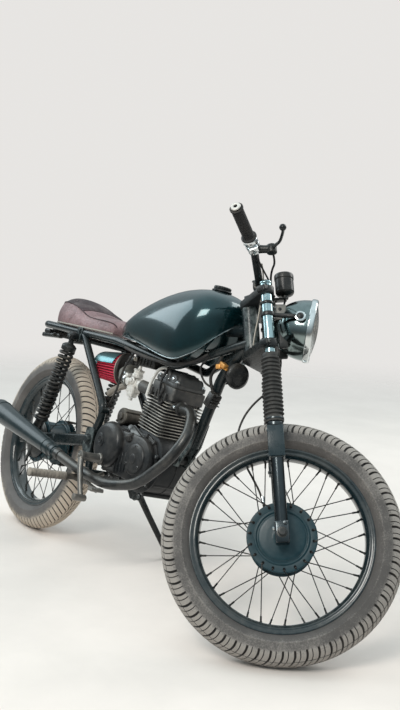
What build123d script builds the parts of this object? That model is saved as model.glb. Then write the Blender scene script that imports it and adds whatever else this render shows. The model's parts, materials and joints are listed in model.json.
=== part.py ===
from build123d import *
import math
import os

# Cafe racer motorcycle, parked on its side stand with the bars turned to the left stop.
# The chassis is modelled upright: +X forward, +Y to the left, +Z up, with the origin on the
# ground under the rear axle. The steered pieces are modelled in the frame of the steering axis:
# +Z up the axis, +X forward and square to it, +Y to the left, with the origin at the point of
# the axis nearest the front axle. Both groups are then placed as the bike stands, in millimetres.

# Stance
wheelbase = 1275.0
caster = 26.0
fork_offset = 48.0
lean_angle = 14.0
steer_lock = 47.0

# Tyres and rims
rear_radius = 315.0
front_radius = 318.0
tread_round = 48.0
rim_depth = 77.0
rim_lip = 15.0
rim_width = 62.0
rim_wall = 4.5
rim_bed = 10.0
tyre_seat = 0.05

# Hubs and spokes
spoke_count = 18
spoke_radius = 1.9
spoke_sweep = 22.0
spoke_gap = 1.4
spoke_stagger = 6.0
front_flange = 92.0
front_drum = 78.0
rear_flange = 82.0
rear_drum = 70.0
hub_right = 48.0
hub_left = 40.0
flange_thick = 6.0
axle_radius = 7.5
axle_fit = 0.05
running_gap = 0.3
plate_thick = 13.0

# Fork
leg_spread = 92.0
tube_radius = 15.5
tube_fit = 0.05
fork_top = 704.0
gaiter_low = 295.0
gaiter_high = 483.0
gaiter_ribs = 15
gaiter_inner = 21.5
gaiter_outer = 27.0
slider_radius = 18.0
slider_block = 44.0
block_low = 200.0
clamp_low = 505.0
clamp_low_thick = 25.0
clamp_high = 668.0
clamp_high_thick = 22.0
stem_radius = 13.0
head_low = 530.5
head_high = 667.5
head_radius = 24.0

# Handlebar
bar_radius = 11.0
bar_bore = 8.0
bar_end_bore = 8.5
bar_end_depth = 70.0
bar_forward = 30.0
bar_rise = 32.0
riser_spread = 38.0
grip_radius = 16.5
grip_length = 116.0

# Headlamp and gauge
lamp_centre = (167.0, 0.0, 588.0)
lamp_tilt = 14.0
lamp_radius = 88.0
lamp_depth = 104.0
bowl_round = 80.0
lamp_wall = 2.5
lens_rise = 14.0
gauge_forward = 104.0
gauge_radius = 26.0
gauge_tall = 80.0

# Frame
frame_tube = 12.7
rail_spread = 88.0
rail_height = 726.0
rail_dip = 4.0
loop_end = -118.0
pivot_x = 424.0
pivot_z = 392.0
arm_tall = 38.0
arm_wide = 25.0
pivot_boss_in = 75.3
pivot_boss_out = 102.0
arm_end_y = 90.0
arm_boss = 3.0
shock_foot_z = 340.0
shock_spread = 118.0
shock_top_x = 190.0
shock_foot_x = 96.0
shock_turns = 14

# Engine
crank_x = 690.0
crank_z = 385.0
crank_round = 95.0
gearbox_x = 540.0
gearbox_round = 80.0
case_half = 58.0
cover_deep = 30.0
cover_boss = 8.0
clutch_round = 76.0
crank_cover_round = 79.0
barrel_tilt = 7.0
barrel_x = 683.0
barrel_z = 470.0
fin_pitch = 9.5
fin_thick = 2.6
fin_long = 126.0
fin_wide = 142.0
intake_rise = 12.0
inlet_reach = 72.0
carb_length = 82.0
duct_length = 40.0
filter_length = 116.0
barrel_fins = 7
head_fins = 5

# Chain
chain_y = 65.0
chain_wide = 12.0
chain_tall = 10.0
chain_links = 118
link_plate = 1.6
link_tall = 11.0
front_sprocket_x = 492.0
front_chain_radius = 36.0
rear_chain_radius = 80.0

# Side stand
stand_pivot = (500.0, 94.0, 246.0)
stand_foot_x = 548.0
stand_foot_y = 238.0
stand_radius = 9.0


def sin(angle):
    return math.sin(math.radians(angle))


def cos(angle):
    return math.cos(math.radians(angle))


# Places worked out from the stance
axis_foot = (wheelbase - fork_offset * cos(caster), 0.0, front_radius - fork_offset * sin(caster))
steering_plane = Plane(origin=axis_foot, x_dir=(cos(caster), 0, sin(caster)), z_dir=(-sin(caster), 0, cos(caster)))
rear_axle_at = (0.0, 0.0, rear_radius)
front_axle_at = (fork_offset, 0.0, 0.0)


def turned(x=0.0, y=0.0, z=0.0):
    """A turn about the origin."""
    return Location((0, 0, 0), (x, y, z))


def lowest_point(hub, radius):
    """Height of a leaned tyre's lowest point, from the place of its hub and its outer radius."""
    across = Plane(hub).y_dir.Z
    return hub.position.Z - (radius - tread_round) * math.sqrt(1 - across**2) - tread_round


def resting_place():
    """Place of the leaned chassis at which both tyres touch the ground."""
    pitch = 0.0
    for step in range(20):
        tilt = turned(y=pitch) * turned(x=-lean_angle)
        rear = lowest_point(tilt * Location(rear_axle_at), rear_radius)
        steered = tilt * steering_plane.location * turned(z=steer_lock)
        front = lowest_point(steered * Location(front_axle_at), front_radius)
        pitch = pitch + math.degrees((front - rear) / wheelbase)
    return Location((0, 0, -rear)) * tilt


standing = resting_place()


def ground_height(x, y):
    """Height of the ground in the upright bike's frame, once the bike leans."""
    above = (standing * Location((x, y, 0))).position.Z
    return -above / Plane(standing).z_dir.Z


def axial_plane(origin, direction):
    """A plane whose local y runs along the direction and whose local x is the radius."""
    along = Vector(*direction).normalized()
    side = along.cross(Vector(0, 0, 1))
    if side.length < 0.01:
        side = Vector(0, 1, 0)
    side = side.normalized()
    return Plane(origin=origin, x_dir=side, z_dir=side.cross(along))


def add_rod(start, end, radius, mode=Mode.ADD):
    """A straight round bar between two points."""
    along = Vector(*end) - Vector(*start)
    with BuildSketch(Plane(origin=start, z_dir=along)) as section:
        Circle(radius)
    extrude(section.sketch, amount=along.length, mode=mode)


def add_tube(points, radius, bends, mode=Mode.ADD, bore=0.0):
    """A bent round tube along a route of straight runs and tangent bends."""
    with BuildLine() as route:
        FilletPolyline(*points, radius=bends)
    with BuildSketch(Plane(origin=route.line @ 0, z_dir=route.line % 0)) as section:
        Circle(radius)
        if bore > 0:
            Circle(bore, mode=Mode.SUBTRACT)
    sweep(section.sketch, path=route.line, mode=mode)


def add_plate(points, low, high, mode=Mode.ADD):
    """A plate with its outline in the XZ plane, from one side position Y to the other."""
    with BuildSketch(Plane(origin=(0, low, 0), x_dir=(1, 0, 0), z_dir=(0, -1, 0))) as section:
        with BuildLine():
            Polyline(*points, close=True)
        make_face()
    extrude(section.sketch, amount=low - high, mode=mode)


def add_turning(origin, direction, profile, mode=Mode.ADD):
    """A turned piece from pairs of radius and distance along its axis."""
    with BuildSketch(axial_plane(origin, direction)) as section:
        with BuildLine():
            Polyline(*profile, close=True)
        make_face()
    revolve(section.sketch, axis=Axis(origin, direction), mode=mode)


def add_spindle_piece(centre, profile, mode=Mode.ADD):
    """A turned piece about a wheel axle, from pairs of side position Y and radius."""
    with BuildSketch(Plane(origin=centre, x_dir=(0, 1, 0), z_dir=(1, 0, 0))) as section:
        with BuildLine():
            Polyline(*profile, close=True)
        make_face()
    revolve(section.sketch, axis=Axis(centre, (0, 1, 0)), mode=mode)


# Wheels
def make_tyre(centre, radius):
    bed = radius - rim_depth - rim_lip + tyre_seat
    lip = radius - rim_depth
    inner = rim_width / 2 - rim_wall - tyre_seat
    middle = radius - tread_round
    side_y = tread_round * cos(30)
    side_z = middle - tread_round * sin(30)
    with BuildPart() as tyre:
        with BuildSketch(Plane(origin=centre, x_dir=(0, 1, 0), z_dir=(1, 0, 0))):
            with BuildLine():
                Polyline((-side_y, side_z), (-inner, lip), (-inner, bed), (inner, bed), (inner, lip), (side_y, side_z))
                ThreePointArc((side_y, side_z), (0, radius), (-side_y, side_z))
            make_face()
        revolve(axis=Axis(centre, (0, 1, 0)))
    return tyre.part


def make_rim(centre, radius):
    lip = radius - rim_depth
    bed = lip - rim_lip
    half = rim_width / 2
    inner = half - rim_wall
    with BuildPart() as rim:
        outline = [
            (-half, lip), (-inner, lip), (-inner, bed), (inner, bed), (inner, lip), (half, lip),
            (half, bed), (half * 0.6, bed - rim_bed), (-half * 0.6, bed - rim_bed), (-half, bed),
        ]
        add_spindle_piece(centre, outline)
    return rim.part


def add_spokes(centre, radius, sides):
    """Crossed spokes from each flange edge to the rim's bed."""
    outer = radius - rim_depth - rim_lip - rim_bed - spoke_gap
    for side_y, flange, leaning in sides:
        for index in range(spoke_count):
            hub_angle = index * 360 / spoke_count + (0 if side_y > 0 else 180 / spoke_count)
            rim_angle = hub_angle + (spoke_sweep if index % 2 else -spoke_sweep)
            inner = flange + spoke_gap
            start = (centre[0] + inner * cos(hub_angle), side_y, centre[2] + inner * sin(hub_angle))
            end = (centre[0] + outer * cos(rim_angle), leaning, centre[2] + outer * sin(rim_angle))
            add_rod(start, end, spoke_radius)


front_tyre = make_tyre(front_axle_at, front_radius)
rear_tyre = make_tyre(rear_axle_at, rear_radius)
front_rim = make_rim(front_axle_at, front_radius)
rear_rim = make_rim(rear_axle_at, rear_radius)

with BuildPart() as front_hub:
    bore = axle_radius + axle_fit
    add_spindle_piece(front_axle_at, [
        (-58, bore), (-58, 20), (-50, 24), (-50, 58), (-46, 60), (-46, 74), (-hub_right, 76),
        (-hub_right, front_flange), (-hub_right + flange_thick, front_flange),
        (-hub_right + flange_thick, front_drum), (hub_left - flange_thick, front_drum),
        (hub_left - flange_thick, front_flange - 4), (hub_left, front_flange - 4), (hub_left, bore),
    ])
with BuildPart() as front_spokes:
    add_spokes(front_axle_at, front_radius, [
        (-hub_right + flange_thick / 2, front_flange, -spoke_stagger),
        (hub_left - flange_thick / 2, front_flange - 4, spoke_stagger),
    ])

with BuildPart() as rear_hub:
    add_spindle_piece(rear_axle_at, [
        (-hub_right, bore), (-hub_right, rear_flange), (-hub_right + flange_thick, rear_flange),
        (-hub_right + flange_thick, rear_drum), (hub_left - flange_thick, rear_drum),
        (hub_left - flange_thick, rear_flange), (hub_left, rear_flange), (hub_left, 52),
        (chain_y - 4, 52), (chain_y - 4, rear_chain_radius - chain_tall / 2 - 1),
        (chain_y + 3, rear_chain_radius - chain_tall / 2 - 1), (chain_y + 3, 30), (chain_y + 5, 28), (chain_y + 5, bore),
    ])
with BuildPart() as rear_spokes:
    add_spokes(rear_axle_at, rear_radius, [
        (-hub_right + flange_thick / 2, rear_flange, -spoke_stagger),
        (hub_left - flange_thick / 2, rear_flange, spoke_stagger),
    ])

# Axles with the brake plates that they hold
with BuildPart() as front_axle:
    inner = hub_left + running_gap
    outer = leg_spread + slider_radius
    add_spindle_piece(front_axle_at, [
        (-outer - 10, 0), (-outer - 10, 12), (-outer - running_gap, 12), (-outer - running_gap, axle_radius),
        (-leg_spread + slider_radius + running_gap, axle_radius), (-leg_spread + slider_radius + running_gap, 13),
        (-58 - running_gap, 13), (-58 - running_gap, axle_radius), (inner, axle_radius),
        (inner, front_drum), (inner + 5, front_drum), (inner + plate_thick, front_drum - 16),
        (inner + plate_thick, 13), (leg_spread - slider_radius - running_gap, 13),
        (leg_spread - slider_radius - running_gap, axle_radius), (outer + running_gap, axle_radius),
        (outer + running_gap, 12), (outer + 8, 12), (outer + 8, 0),
    ])

with BuildPart() as rear_axle:
    inner = hub_right + running_gap
    arm_in = arm_end_y - arm_wide / 2 - arm_boss - running_gap
    arm_out = arm_end_y + arm_wide / 2 + arm_boss + running_gap
    add_spindle_piece(rear_axle_at, [
        (-arm_out - 10, 0), (-arm_out - 10, 13), (-arm_out, 13), (-arm_out, axle_radius),
        (-arm_in, axle_radius), (-arm_in, 14), (-inner - plate_thick, 14), (-inner - plate_thick, rear_drum - 14),
        (-inner - 5, rear_drum), (-inner, rear_drum), (-inner, axle_radius), (chain_y + 5.3, axle_radius),
        (chain_y + 5.3, 14), (arm_in, 14), (arm_in, axle_radius), (arm_out, axle_radius), (arm_out, 13),
        (arm_out + 10, 13), (arm_out + 10, 0),
    ])

# Fork, in the steering frame
with BuildPart() as fork_tubes:
    for side in (-leg_spread, leg_spread):
        add_turning((fork_offset, side, 0), (0, 0, 1), [
            (0, block_low + 6), (tube_radius, block_low + 6), (tube_radius, fork_top - 14),
            (tube_radius + 2, fork_top - 13.7), (tube_radius + 2, fork_top - 3), (tube_radius - 2, fork_top), (0, fork_top),
        ])

with BuildPart() as fork_gaiters:
    rib = (gaiter_high - gaiter_low) / gaiter_ribs
    for side in (-leg_spread, leg_spread):
        profile = [(tube_radius + tube_fit, gaiter_low), (gaiter_inner, gaiter_low)]
        for index in range(gaiter_ribs):
            profile.append((gaiter_outer, gaiter_low + rib * (index + 0.5)))
            profile.append((gaiter_inner, gaiter_low + rib * (index + 1)))
        profile.append((tube_radius + tube_fit, gaiter_high))
        add_turning((fork_offset, side, 0), (0, 0, 1), profile)

with BuildPart() as fork_sliders:
    for side in (-leg_spread, leg_spread):
        add_rod((fork_offset, side, 0), (fork_offset, side, block_low), slider_radius)
        with BuildSketch(Plane((fork_offset, side, block_low))):
            RectangleRounded(slider_block, slider_block, 7)
        extrude(amount=gaiter_low - 9 - block_low)
        add_rod((fork_offset, side, gaiter_low - 9), (fork_offset, side, gaiter_low), slider_block / 2)
        add_rod((fork_offset, side - slider_radius, 0), (fork_offset, side + slider_radius, 0), slider_radius)
        add_rod((fork_offset, side, block_low + 5), (fork_offset, side, gaiter_low), tube_radius + tube_fit, Mode.SUBTRACT)
        add_rod((fork_offset, side - 30, 0), (fork_offset, side + 30, 0), axle_radius + axle_fit, Mode.SUBTRACT)


bar_height = clamp_high + clamp_high_thick + bar_rise


def add_clamp(low, thick, leg_round, stem_round, stem_hole=0.0):
    """A clamp plate round both fork legs and the steering stem."""
    with BuildSketch(Plane.XY.offset(low)) as outline:
        with BuildSketch(mode=Mode.PRIVATE) as rounds:
            Circle(stem_round)
            with Locations((fork_offset, -leg_spread), (fork_offset, leg_spread)):
                Circle(leg_round)
        make_hull(rounds.sketch.edges())
        with Locations((fork_offset, -leg_spread), (fork_offset, leg_spread)):
            Circle(tube_radius + tube_fit, mode=Mode.SUBTRACT)
        if stem_hole > 0:
            Circle(stem_hole, mode=Mode.SUBTRACT)
    extrude(outline.sketch, amount=thick)


with BuildPart() as fork_clamps:
    add_clamp(clamp_low, clamp_low_thick, 24, 29)
    add_rod((0, 0, clamp_low), (0, 0, clamp_high + clamp_high_thick + 11), stem_radius)
    add_clamp(clamp_high, clamp_high_thick, 22, 27, stem_radius + tube_fit)
    for side in (-riser_spread, riser_spread):
        top = clamp_high + clamp_high_thick
        add_rod((bar_forward, side, top - 2), (bar_forward, side, bar_height), 11)
        add_rod((bar_forward, side - 12, bar_height), (bar_forward, side + 12, bar_height), 17)
        add_rod((bar_forward, side - 13, bar_height), (bar_forward, side + 13, bar_height), bar_radius + tube_fit, Mode.SUBTRACT)

# Handlebar and its controls
bar_end = (-22.0, 352.0, bar_height + 80)
bar_bend = (20.0, 200.0, bar_height + 36)
bar_root = (bar_forward, 80.0, bar_height)


def mirrored(point, side):
    return (point[0], point[1] * side, point[2])


def on_bar(distance, side):
    """A point on the straight outer run of the bar, at a distance from its bend."""
    start = Vector(*mirrored(bar_bend, side))
    end = Vector(*mirrored(bar_end, side))
    return start + (end - start).normalized() * distance


with BuildPart() as handlebar:
    half_route = [bar_end, bar_bend, bar_root]
    route_points = half_route + [mirrored(point, -1) for point in reversed(half_route)]
    add_tube(route_points, bar_radius, [60, 50, 50, 60], bore=bar_bore)
    for side in (-1, 1):
        tip = Vector(*mirrored(bar_end, side))
        inwards = (Vector(*mirrored(bar_bend, side)) - tip).normalized()
        add_rod(tuple(tip - inwards), tuple(tip + inwards * bar_end_depth), bar_end_bore, Mode.SUBTRACT)

with BuildPart() as grips:
    for side in (-1, 1):
        start = on_bar(44, side)
        along = on_bar(45, side) - start
        inside = bar_radius + tube_fit
        add_turning(tuple(start), tuple(along), [
            (inside, 0), (21, 0), (21, 5), (grip_radius, 8), (grip_radius, grip_length - 5),
            (grip_radius + 2, grip_length - 3), (grip_radius + 2, grip_length), (inside, grip_length),
        ])

with BuildPart() as hand_levers:
    for side in (-1, 1):
        start = on_bar(6, side)
        along = on_bar(7, side) - start
        inside = bar_radius + tube_fit
        pivot = (54.0, 206.0 * side, bar_height + 28)
        lever_end = (96, 336 * side, bar_height + 20)
        add_turning(tuple(start), tuple(along), [(inside, 0), (17, 0), (19, 4), (19, 26), (17, 30), (inside, 30)])
        hub = start + along * 15
        reach = Vector(*pivot) - hub
        add_rod(tuple(hub + reach.normalized() * 14), pivot, 9)
        add_rod((pivot[0], pivot[1], pivot[2] - 9), (pivot[0], pivot[1], pivot[2] + 9), 11)
        add_tube([pivot, (88, 246 * side, bar_height + 26), lever_end], 5, [30])
        with Locations(lever_end):
            Sphere(8.5)
        add_rod(tuple(on_bar(1, side)), tuple(on_bar(60, side)), inside, Mode.SUBTRACT)

# Headlamp and gauge
lamp_way = (cos(lamp_tilt), 0, -sin(lamp_tilt))
lamp_section = Plane(origin=lamp_centre, x_dir=(0, 1, 0), z_dir=(-sin(lamp_tilt), 0, -cos(lamp_tilt)))


def add_lamp_turning(profile_lines, mode=Mode.ADD):
    with BuildSketch(lamp_section) as section:
        with BuildLine():
            profile_lines()
        make_face()
    revolve(section.sketch, axis=Axis(lamp_centre, lamp_way), mode=mode)


def bowl_lines(wall):
    """Half outline of the lamp's bowl, a round back and a cone to the rim, smaller by a wall."""
    back = bowl_round - wall
    rim = lamp_radius - wall
    middle = bowl_round - lamp_depth
    reach = math.hypot(rim, middle)
    tangent = math.degrees(math.atan2(-middle, rim) - math.acos(back / reach))
    half_way = (tangent - 90) / 2
    joint = (back * cos(tangent), middle + back * sin(tangent))
    ThreePointArc((0, middle - back), (back * cos(half_way), middle + back * sin(half_way)), joint)
    Polyline(joint, (rim, 0), (0, 0), (0, middle - back))


with BuildPart() as headlamp_shell:
    add_lamp_turning(lambda: bowl_lines(0))
    add_lamp_turning(lambda: bowl_lines(lamp_wall), Mode.SUBTRACT)
    with BuildSketch(lamp_section):
        with BuildLine():
            Polyline((lamp_radius - 4, -6), (lamp_radius + 4, -6), (lamp_radius + 4, 6), (lamp_radius, 10), (lamp_radius - 6, 10), (lamp_radius - 6, 0), close=True)
        make_face()
    revolve(axis=Axis(lamp_centre, lamp_way))
    for side in (-1, 1):
        ear = side * leg_spread
        bolt_x = lamp_centre[0] - 26
        bolt_z = lamp_centre[2] + 6
        add_rod((fork_offset, ear, bolt_z - 11), (fork_offset, ear, bolt_z + 11), tube_radius + 4.5)
        add_plate([(fork_offset, bolt_z - 9), (bolt_x, bolt_z - 12), (bolt_x + 12, bolt_z), (bolt_x, bolt_z + 12), (fork_offset, bolt_z + 9)], ear - 3, ear + 3)
        add_rod((bolt_x, side * (lamp_radius - 10), bolt_z), (bolt_x, side * (leg_spread + 9), bolt_z), 9)
        add_rod((fork_offset, ear, bolt_z - 12), (fork_offset, ear, bolt_z + 12), tube_radius + tube_fit, Mode.SUBTRACT)
    add_lamp_turning(lambda: bowl_lines(lamp_wall), Mode.SUBTRACT)

with BuildPart() as headlamp_lens:
    edge = lamp_radius - 6.3
    dome = (edge**2 + lens_rise**2) / (2 * lens_rise)
    middle = math.degrees(math.asin(edge / dome)) / 2
    crown = 8 + lens_rise - dome
    with BuildSketch(lamp_section):
        with BuildLine():
            Polyline((0, 8 + lens_rise), (0, 1), (edge, 1), (edge, 8))
            ThreePointArc((edge, 8), (dome * sin(middle), crown + dome * cos(middle)), (0, 8 + lens_rise))
        make_face()
    revolve(axis=Axis(lamp_centre, lamp_way))

with BuildPart() as speedometer:
    plate_low = clamp_high + clamp_high_thick
    gauge_top = plate_low + gauge_tall
    with BuildSketch(Plane((gauge_forward - 24, 0, plate_low))):
        RectangleRounded(56, 30, 6)
    extrude(amount=3)
    add_turning((gauge_forward, 0, plate_low), (0, 0, 1), [
        (0, 1), (16, 1), (22, 14), (gauge_radius - 2, 18), (gauge_radius - 2, gauge_top - plate_low - 14),
        (gauge_radius, gauge_top - plate_low - 12), (gauge_radius, gauge_top - plate_low - 2),
        (gauge_radius - 3, gauge_top - plate_low), (0, gauge_top - plate_low),
    ])

# Front brake cable: from the right lever, past the gauge, down behind the left leg to the brake plate
cable_radius = 3.0
cable_points = [
    (70, -206, 741), (78, -150, 738), (68, -92, 744), (64, -36, 740), (68, 18, 716), (78, 50, 680), (80, 59, 620),
    (81, 58, 555), (80, 60, 500), (52, 62, 445), (2, 64, 410), (-36, 65, 366), (-58, 66, 310), (-48, 68, 250), (-20, 66, 190),
    (4, 62, 135), (10, 60, 84),
]


def cord_bends(points):
    """Bend radii of a cord: each as large as its two runs allow."""
    radii = []
    for before, at, after in zip(points, points[1:], points[2:]):
        first = Vector(*at) - Vector(*before)
        second = Vector(*after) - Vector(*at)
        turn = first.get_angle(second)
        shorter = min(first.length, second.length)
        radii.append(0.45 * shorter / math.tan(math.radians(turn / 2)))
    return radii


with BuildPart() as brake_cable:
    add_tube(cable_points, cable_radius, cord_bends(cable_points))

# The side stand's foot on the ground and its tilted hinge, which folds it rearwards under the left footpeg
stand_eye = 15.0
ground_up = Vector(Plane(standing.inverse()).z_dir)
foot_ground = Vector(stand_foot_x, stand_foot_y, ground_height(stand_foot_x, stand_foot_y))
stand_down = (foot_ground - Vector(*stand_pivot)).normalized()
stand_folded = Vector(-0.985, 0.08, -0.15).normalized()
stand_swing = (stand_down - stand_folded).normalized()
stand_axis = (Vector(0, 1, 0) - stand_swing * stand_swing.Y).normalized()

# Frame
rail_front = rail_height - rail_dip
shock_top_z = rail_height - 24
shock_lug = [
    (shock_top_x - 10, rail_height + 4), (shock_top_x + 10, rail_height + 4), (shock_top_x + 12, shock_top_z - 2),
    (shock_top_x, shock_top_z - 12), (shock_top_x - 12, shock_top_z - 2),
]
engine_plate = [(864, 542), (846, 542), (784, 440), (784, 400), (812, 400), (852, 470)]
pivot_plate = [
    (pivot_x - 24, pivot_z + 48), (pivot_x + 34, pivot_z + 48), (pivot_x + 34, pivot_z - 42),
    (pivot_x + 14, 300), (pivot_x - 6, 300), (pivot_x - 24, pivot_z - 42),
]
stand_plate = [(440, 300), (470, 300), (516, 262), (516, 236), (488, 232), (440, 276)]
with BuildPart() as frame:
    with BuildSketch(steering_plane.offset(head_low)):
        Circle(head_radius)
    extrude(amount=head_high - head_low)
    for side in (-1, 1):
        add_tube(
            [(200, rail_spread * side, rail_height), (452, rail_spread * side, 495), (pivot_x, rail_spread * side, pivot_z),
             (450, rail_spread * side, 290)],
            frame_tube, [60, 60])
    add_tube(
        [(988, 12, 800), (740, 58, rail_height - 37), (420, rail_spread, rail_front), (loop_end, rail_spread, rail_height),
         (loop_end, -rail_spread, rail_height), (420, -rail_spread, rail_front), (740, -58, rail_height - 37), (988, -12, 800)],
        frame_tube, [60, 150, 70, 70, 150, 60])
    add_tube([(969, 0, 836), (640, 0, rail_height + 70), (420, 0, rail_front)], 17, [150])
    add_rod((420, -rail_spread, rail_front), (420, rail_spread, rail_front), 11)
    add_tube([(985, 0, 812), (893, 0, 690), (862, 0, 545), (842, 0, 470)], 16, [120, 100])
    for side in (-1, 1):
        add_plate(engine_plate, side * 18 - 3, side * 18 + 3)
        add_plate(pivot_plate, side * 81 - 2.5, side * 81 + 2.5)
    add_rod((450, -rail_spread, 290), (450, rail_spread, 290), 11)
    add_plate(stand_plate, 68, 76)
    for side in (-1, 1):
        add_rod((shock_top_x, side * rail_spread, shock_top_z), (shock_top_x, side * (shock_spread + 14), shock_top_z), 7)
        add_plate(shock_lug, side * rail_spread - 4, side * rail_spread + 4)
    add_rod((shock_top_x, -rail_spread, shock_top_z), (shock_top_x, rail_spread, shock_top_z), 10)
    with BuildSketch(steering_plane.offset(head_low - 2)):
        Circle(stem_radius + tube_fit)
    extrude(amount=head_high - head_low + 4, mode=Mode.SUBTRACT)
    for side in (-1, 1):
        add_rod((pivot_x, side * pivot_boss_in, pivot_z), (pivot_x, side * pivot_boss_out, pivot_z), 17)
        add_rod((pivot_x, side * 62, pivot_z), (pivot_x, side * 110, pivot_z), 7.6, Mode.SUBTRACT)
    boss = Vector(*stand_pivot) - stand_axis * (stand_eye / 2 + running_gap)
    add_rod(tuple(boss - stand_axis * 18), tuple(boss), 11)

with BuildPart() as swingarm:
    for side in (-1, 1):
        front = Vector(pivot_x, side * 61, pivot_z)
        rear = Vector(-34, side * arm_end_y, 308)
        with BuildSketch(Plane(origin=front, x_dir=(0, 1, 0), z_dir=rear - front)):
            RectangleRounded(arm_wide, arm_tall, 6)
        extrude(amount=(rear - front).length)
        add_rod((shock_foot_x, side * 86, shock_foot_z), (shock_foot_x, side * (shock_spread + 14), shock_foot_z), 7)
        add_rod((0, side * (arm_end_y - arm_wide / 2 - arm_boss), rear_radius), (0, side * (arm_end_y + arm_wide / 2 + arm_boss), rear_radius), 19)
    add_rod((pivot_x, -74.9, pivot_z), (pivot_x, 74.9, pivot_z), 19)
    add_rod((352, -66, 378), (352, 66, 378), 12)
    add_rod((pivot_x, -90, pivot_z), (pivot_x, 90, pivot_z), 7.5)
    add_rod((0, -120, rear_radius), (0, 120, rear_radius), axle_radius + axle_fit, Mode.SUBTRACT)

with BuildPart() as shock_absorbers:
    for side in (-1, 1):
        low = Vector(shock_foot_x, side * shock_spread, shock_foot_z)
        high = Vector(shock_top_x, side * shock_spread, shock_top_z)
        along = high - low
        for end in (low, high):
            add_rod((end.X, end.Y - 12, end.Z), (end.X, end.Y + 12, end.Z), 15)
        profile = [(0, 9), (9, 9), (9, 22), (14, 24), (14, 60), (24, 62), (24, 72)]
        pitch = (along.length - 72 - 50) / shock_turns
        for index in range(shock_turns):
            base = 72 + index * pitch
            profile += [(20, base + 1), (27, base + pitch * 0.3), (27, base + pitch * 0.6), (20, base + pitch - 1)]
        profile += [(24, along.length - 50), (24, along.length - 34), (9, along.length - 28), (9, along.length - 9), (0, along.length - 9)]
        add_turning(tuple(low), tuple(along), profile)
        for end in (low, high):
            add_rod((end.X, end.Y - 20, end.Z), (end.X, end.Y + 20, end.Z), 7.1, Mode.SUBTRACT)

# Tank: a row of rounded sections, each with its place, half width, bottom, top and corner radii
tank_sections = [
    # x, half width, bottom and top over the rails, top radius, bottom radius
    (372, 38, 15, 31, 7, 4),
    (440, 88, 13, 80, 34, 10),
    (560, 114, 5, 154, 70, 22),
    (690, 130, -14, 201, 85, 30),
    (800, 134, -22, 212, 90, 36),
    (862, 102, 18, 194, 74, 30),
    (902, 40, 89, 150, 24, 18),
]
cap_x = 790.0
cap_neck = 23.0
cap_seat = rail_height + 215
tunnel_wide = 74.0
tunnel_narrow = 22.0
rail_tunnel = [(682, 670), (682, rail_height - 12), (760, rail_height - 8), (880, rail_height + 54), (950, 816), (950, 670)]
backbone_tunnel = [
    (340, 660), (340, rail_height + 26), (430, rail_height + 36), (640, rail_height + 94), (960, 865), (960, 660),
]
with BuildPart() as fuel_tank:
    for x, half, bottom, top, top_round, low_round in tank_sections:
        with BuildSketch(Plane(origin=(x, 0, rail_height), x_dir=(0, 1, 0), z_dir=(1, 0, 0))) as section:
            with Locations((0, (bottom + top) / 2)):
                Rectangle(2 * half, top - bottom)
            fillet(section.vertices().group_by(Axis.Y)[-1], top_round)
            fillet(section.vertices().group_by(Axis.Y)[0], low_round)
    loft()
    add_plate(rail_tunnel, -tunnel_wide, tunnel_wide, Mode.SUBTRACT)
    add_plate(backbone_tunnel, -tunnel_narrow, tunnel_narrow, Mode.SUBTRACT)
    add_rod((cap_x, 0, cap_seat - 41), (cap_x, 0, cap_seat - running_gap), cap_neck)

with BuildPart() as filler_cap:
    rim = cap_neck + 3
    add_turning((cap_x, 0, cap_seat), (0, 0, 1), [(0, 0), (rim, 0), (rim, 8), (rim - 4, 13), (8, 13), (6, 11), (0, 11)])

# Seat: a row of rounded sections
seat_sections = [
    # x, half width, thickness, edge radius
    (-104, 62, 51, 18),
    (-70, 92, 93, 30),
    (-10, 104, 107, 32),
    (80, 106, 83, 30),
    (190, 104, 61, 26),
    (310, 96, 51, 24),
    (366, 84, 41, 18),
]
seat_low = rail_height + frame_tube + running_gap
with BuildPart() as seat:
    for x, half, thick, edge in seat_sections:
        with BuildSketch(Plane(origin=(x, 0, seat_low + thick / 2), x_dir=(0, 1, 0), z_dir=(1, 0, 0))):
            RectangleRounded(2 * half, thick, edge * 0.7)
    loft()

with BuildPart() as tail_lamp:
    with BuildSketch(Plane.XY.offset(rail_height - frame_tube - running_gap)):
        with Locations((loop_end - 2, 0)):
            RectangleRounded(44, 96, 9)
    extrude(amount=-26)

# Engine
barrel_plane = Plane(
    origin=(barrel_x, 0, barrel_z), x_dir=(cos(barrel_tilt), 0, -sin(barrel_tilt)), z_dir=(sin(barrel_tilt), 0, cos(barrel_tilt)),
)
intake_way = Vector(-cos(intake_rise), 0, sin(intake_rise))
intake_up = Vector(sin(intake_rise), 0, cos(intake_rise))
head_base = 4 + barrel_fins * fin_pitch
cover_base = head_base + head_fins * fin_pitch + 42
port = barrel_plane.from_local_coords(Vector(0, -20, head_base + 30))
port_way = Vector(66, -4, -2).normalized()
port_reach = 66.0
inlet = barrel_plane.from_local_coords(Vector(0, -16, head_base + 46))


def add_case_hull(low, high, rear_round, front_round, rear_x=gearbox_x, rear_z=crank_z):
    """An outline drawn round the gearbox circle and the crank circle, from one side position to the other."""
    with BuildSketch(Plane(origin=(0, low, 0), x_dir=(1, 0, 0), z_dir=(0, -1, 0))) as outline:
        with BuildSketch(mode=Mode.PRIVATE) as rounds:
            with Locations((rear_x, rear_z)):
                Circle(rear_round)
            with Locations((crank_x, crank_z)):
                Circle(front_round)
        make_hull(rounds.sketch.edges())
    extrude(outline.sketch, amount=low - high)


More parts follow.
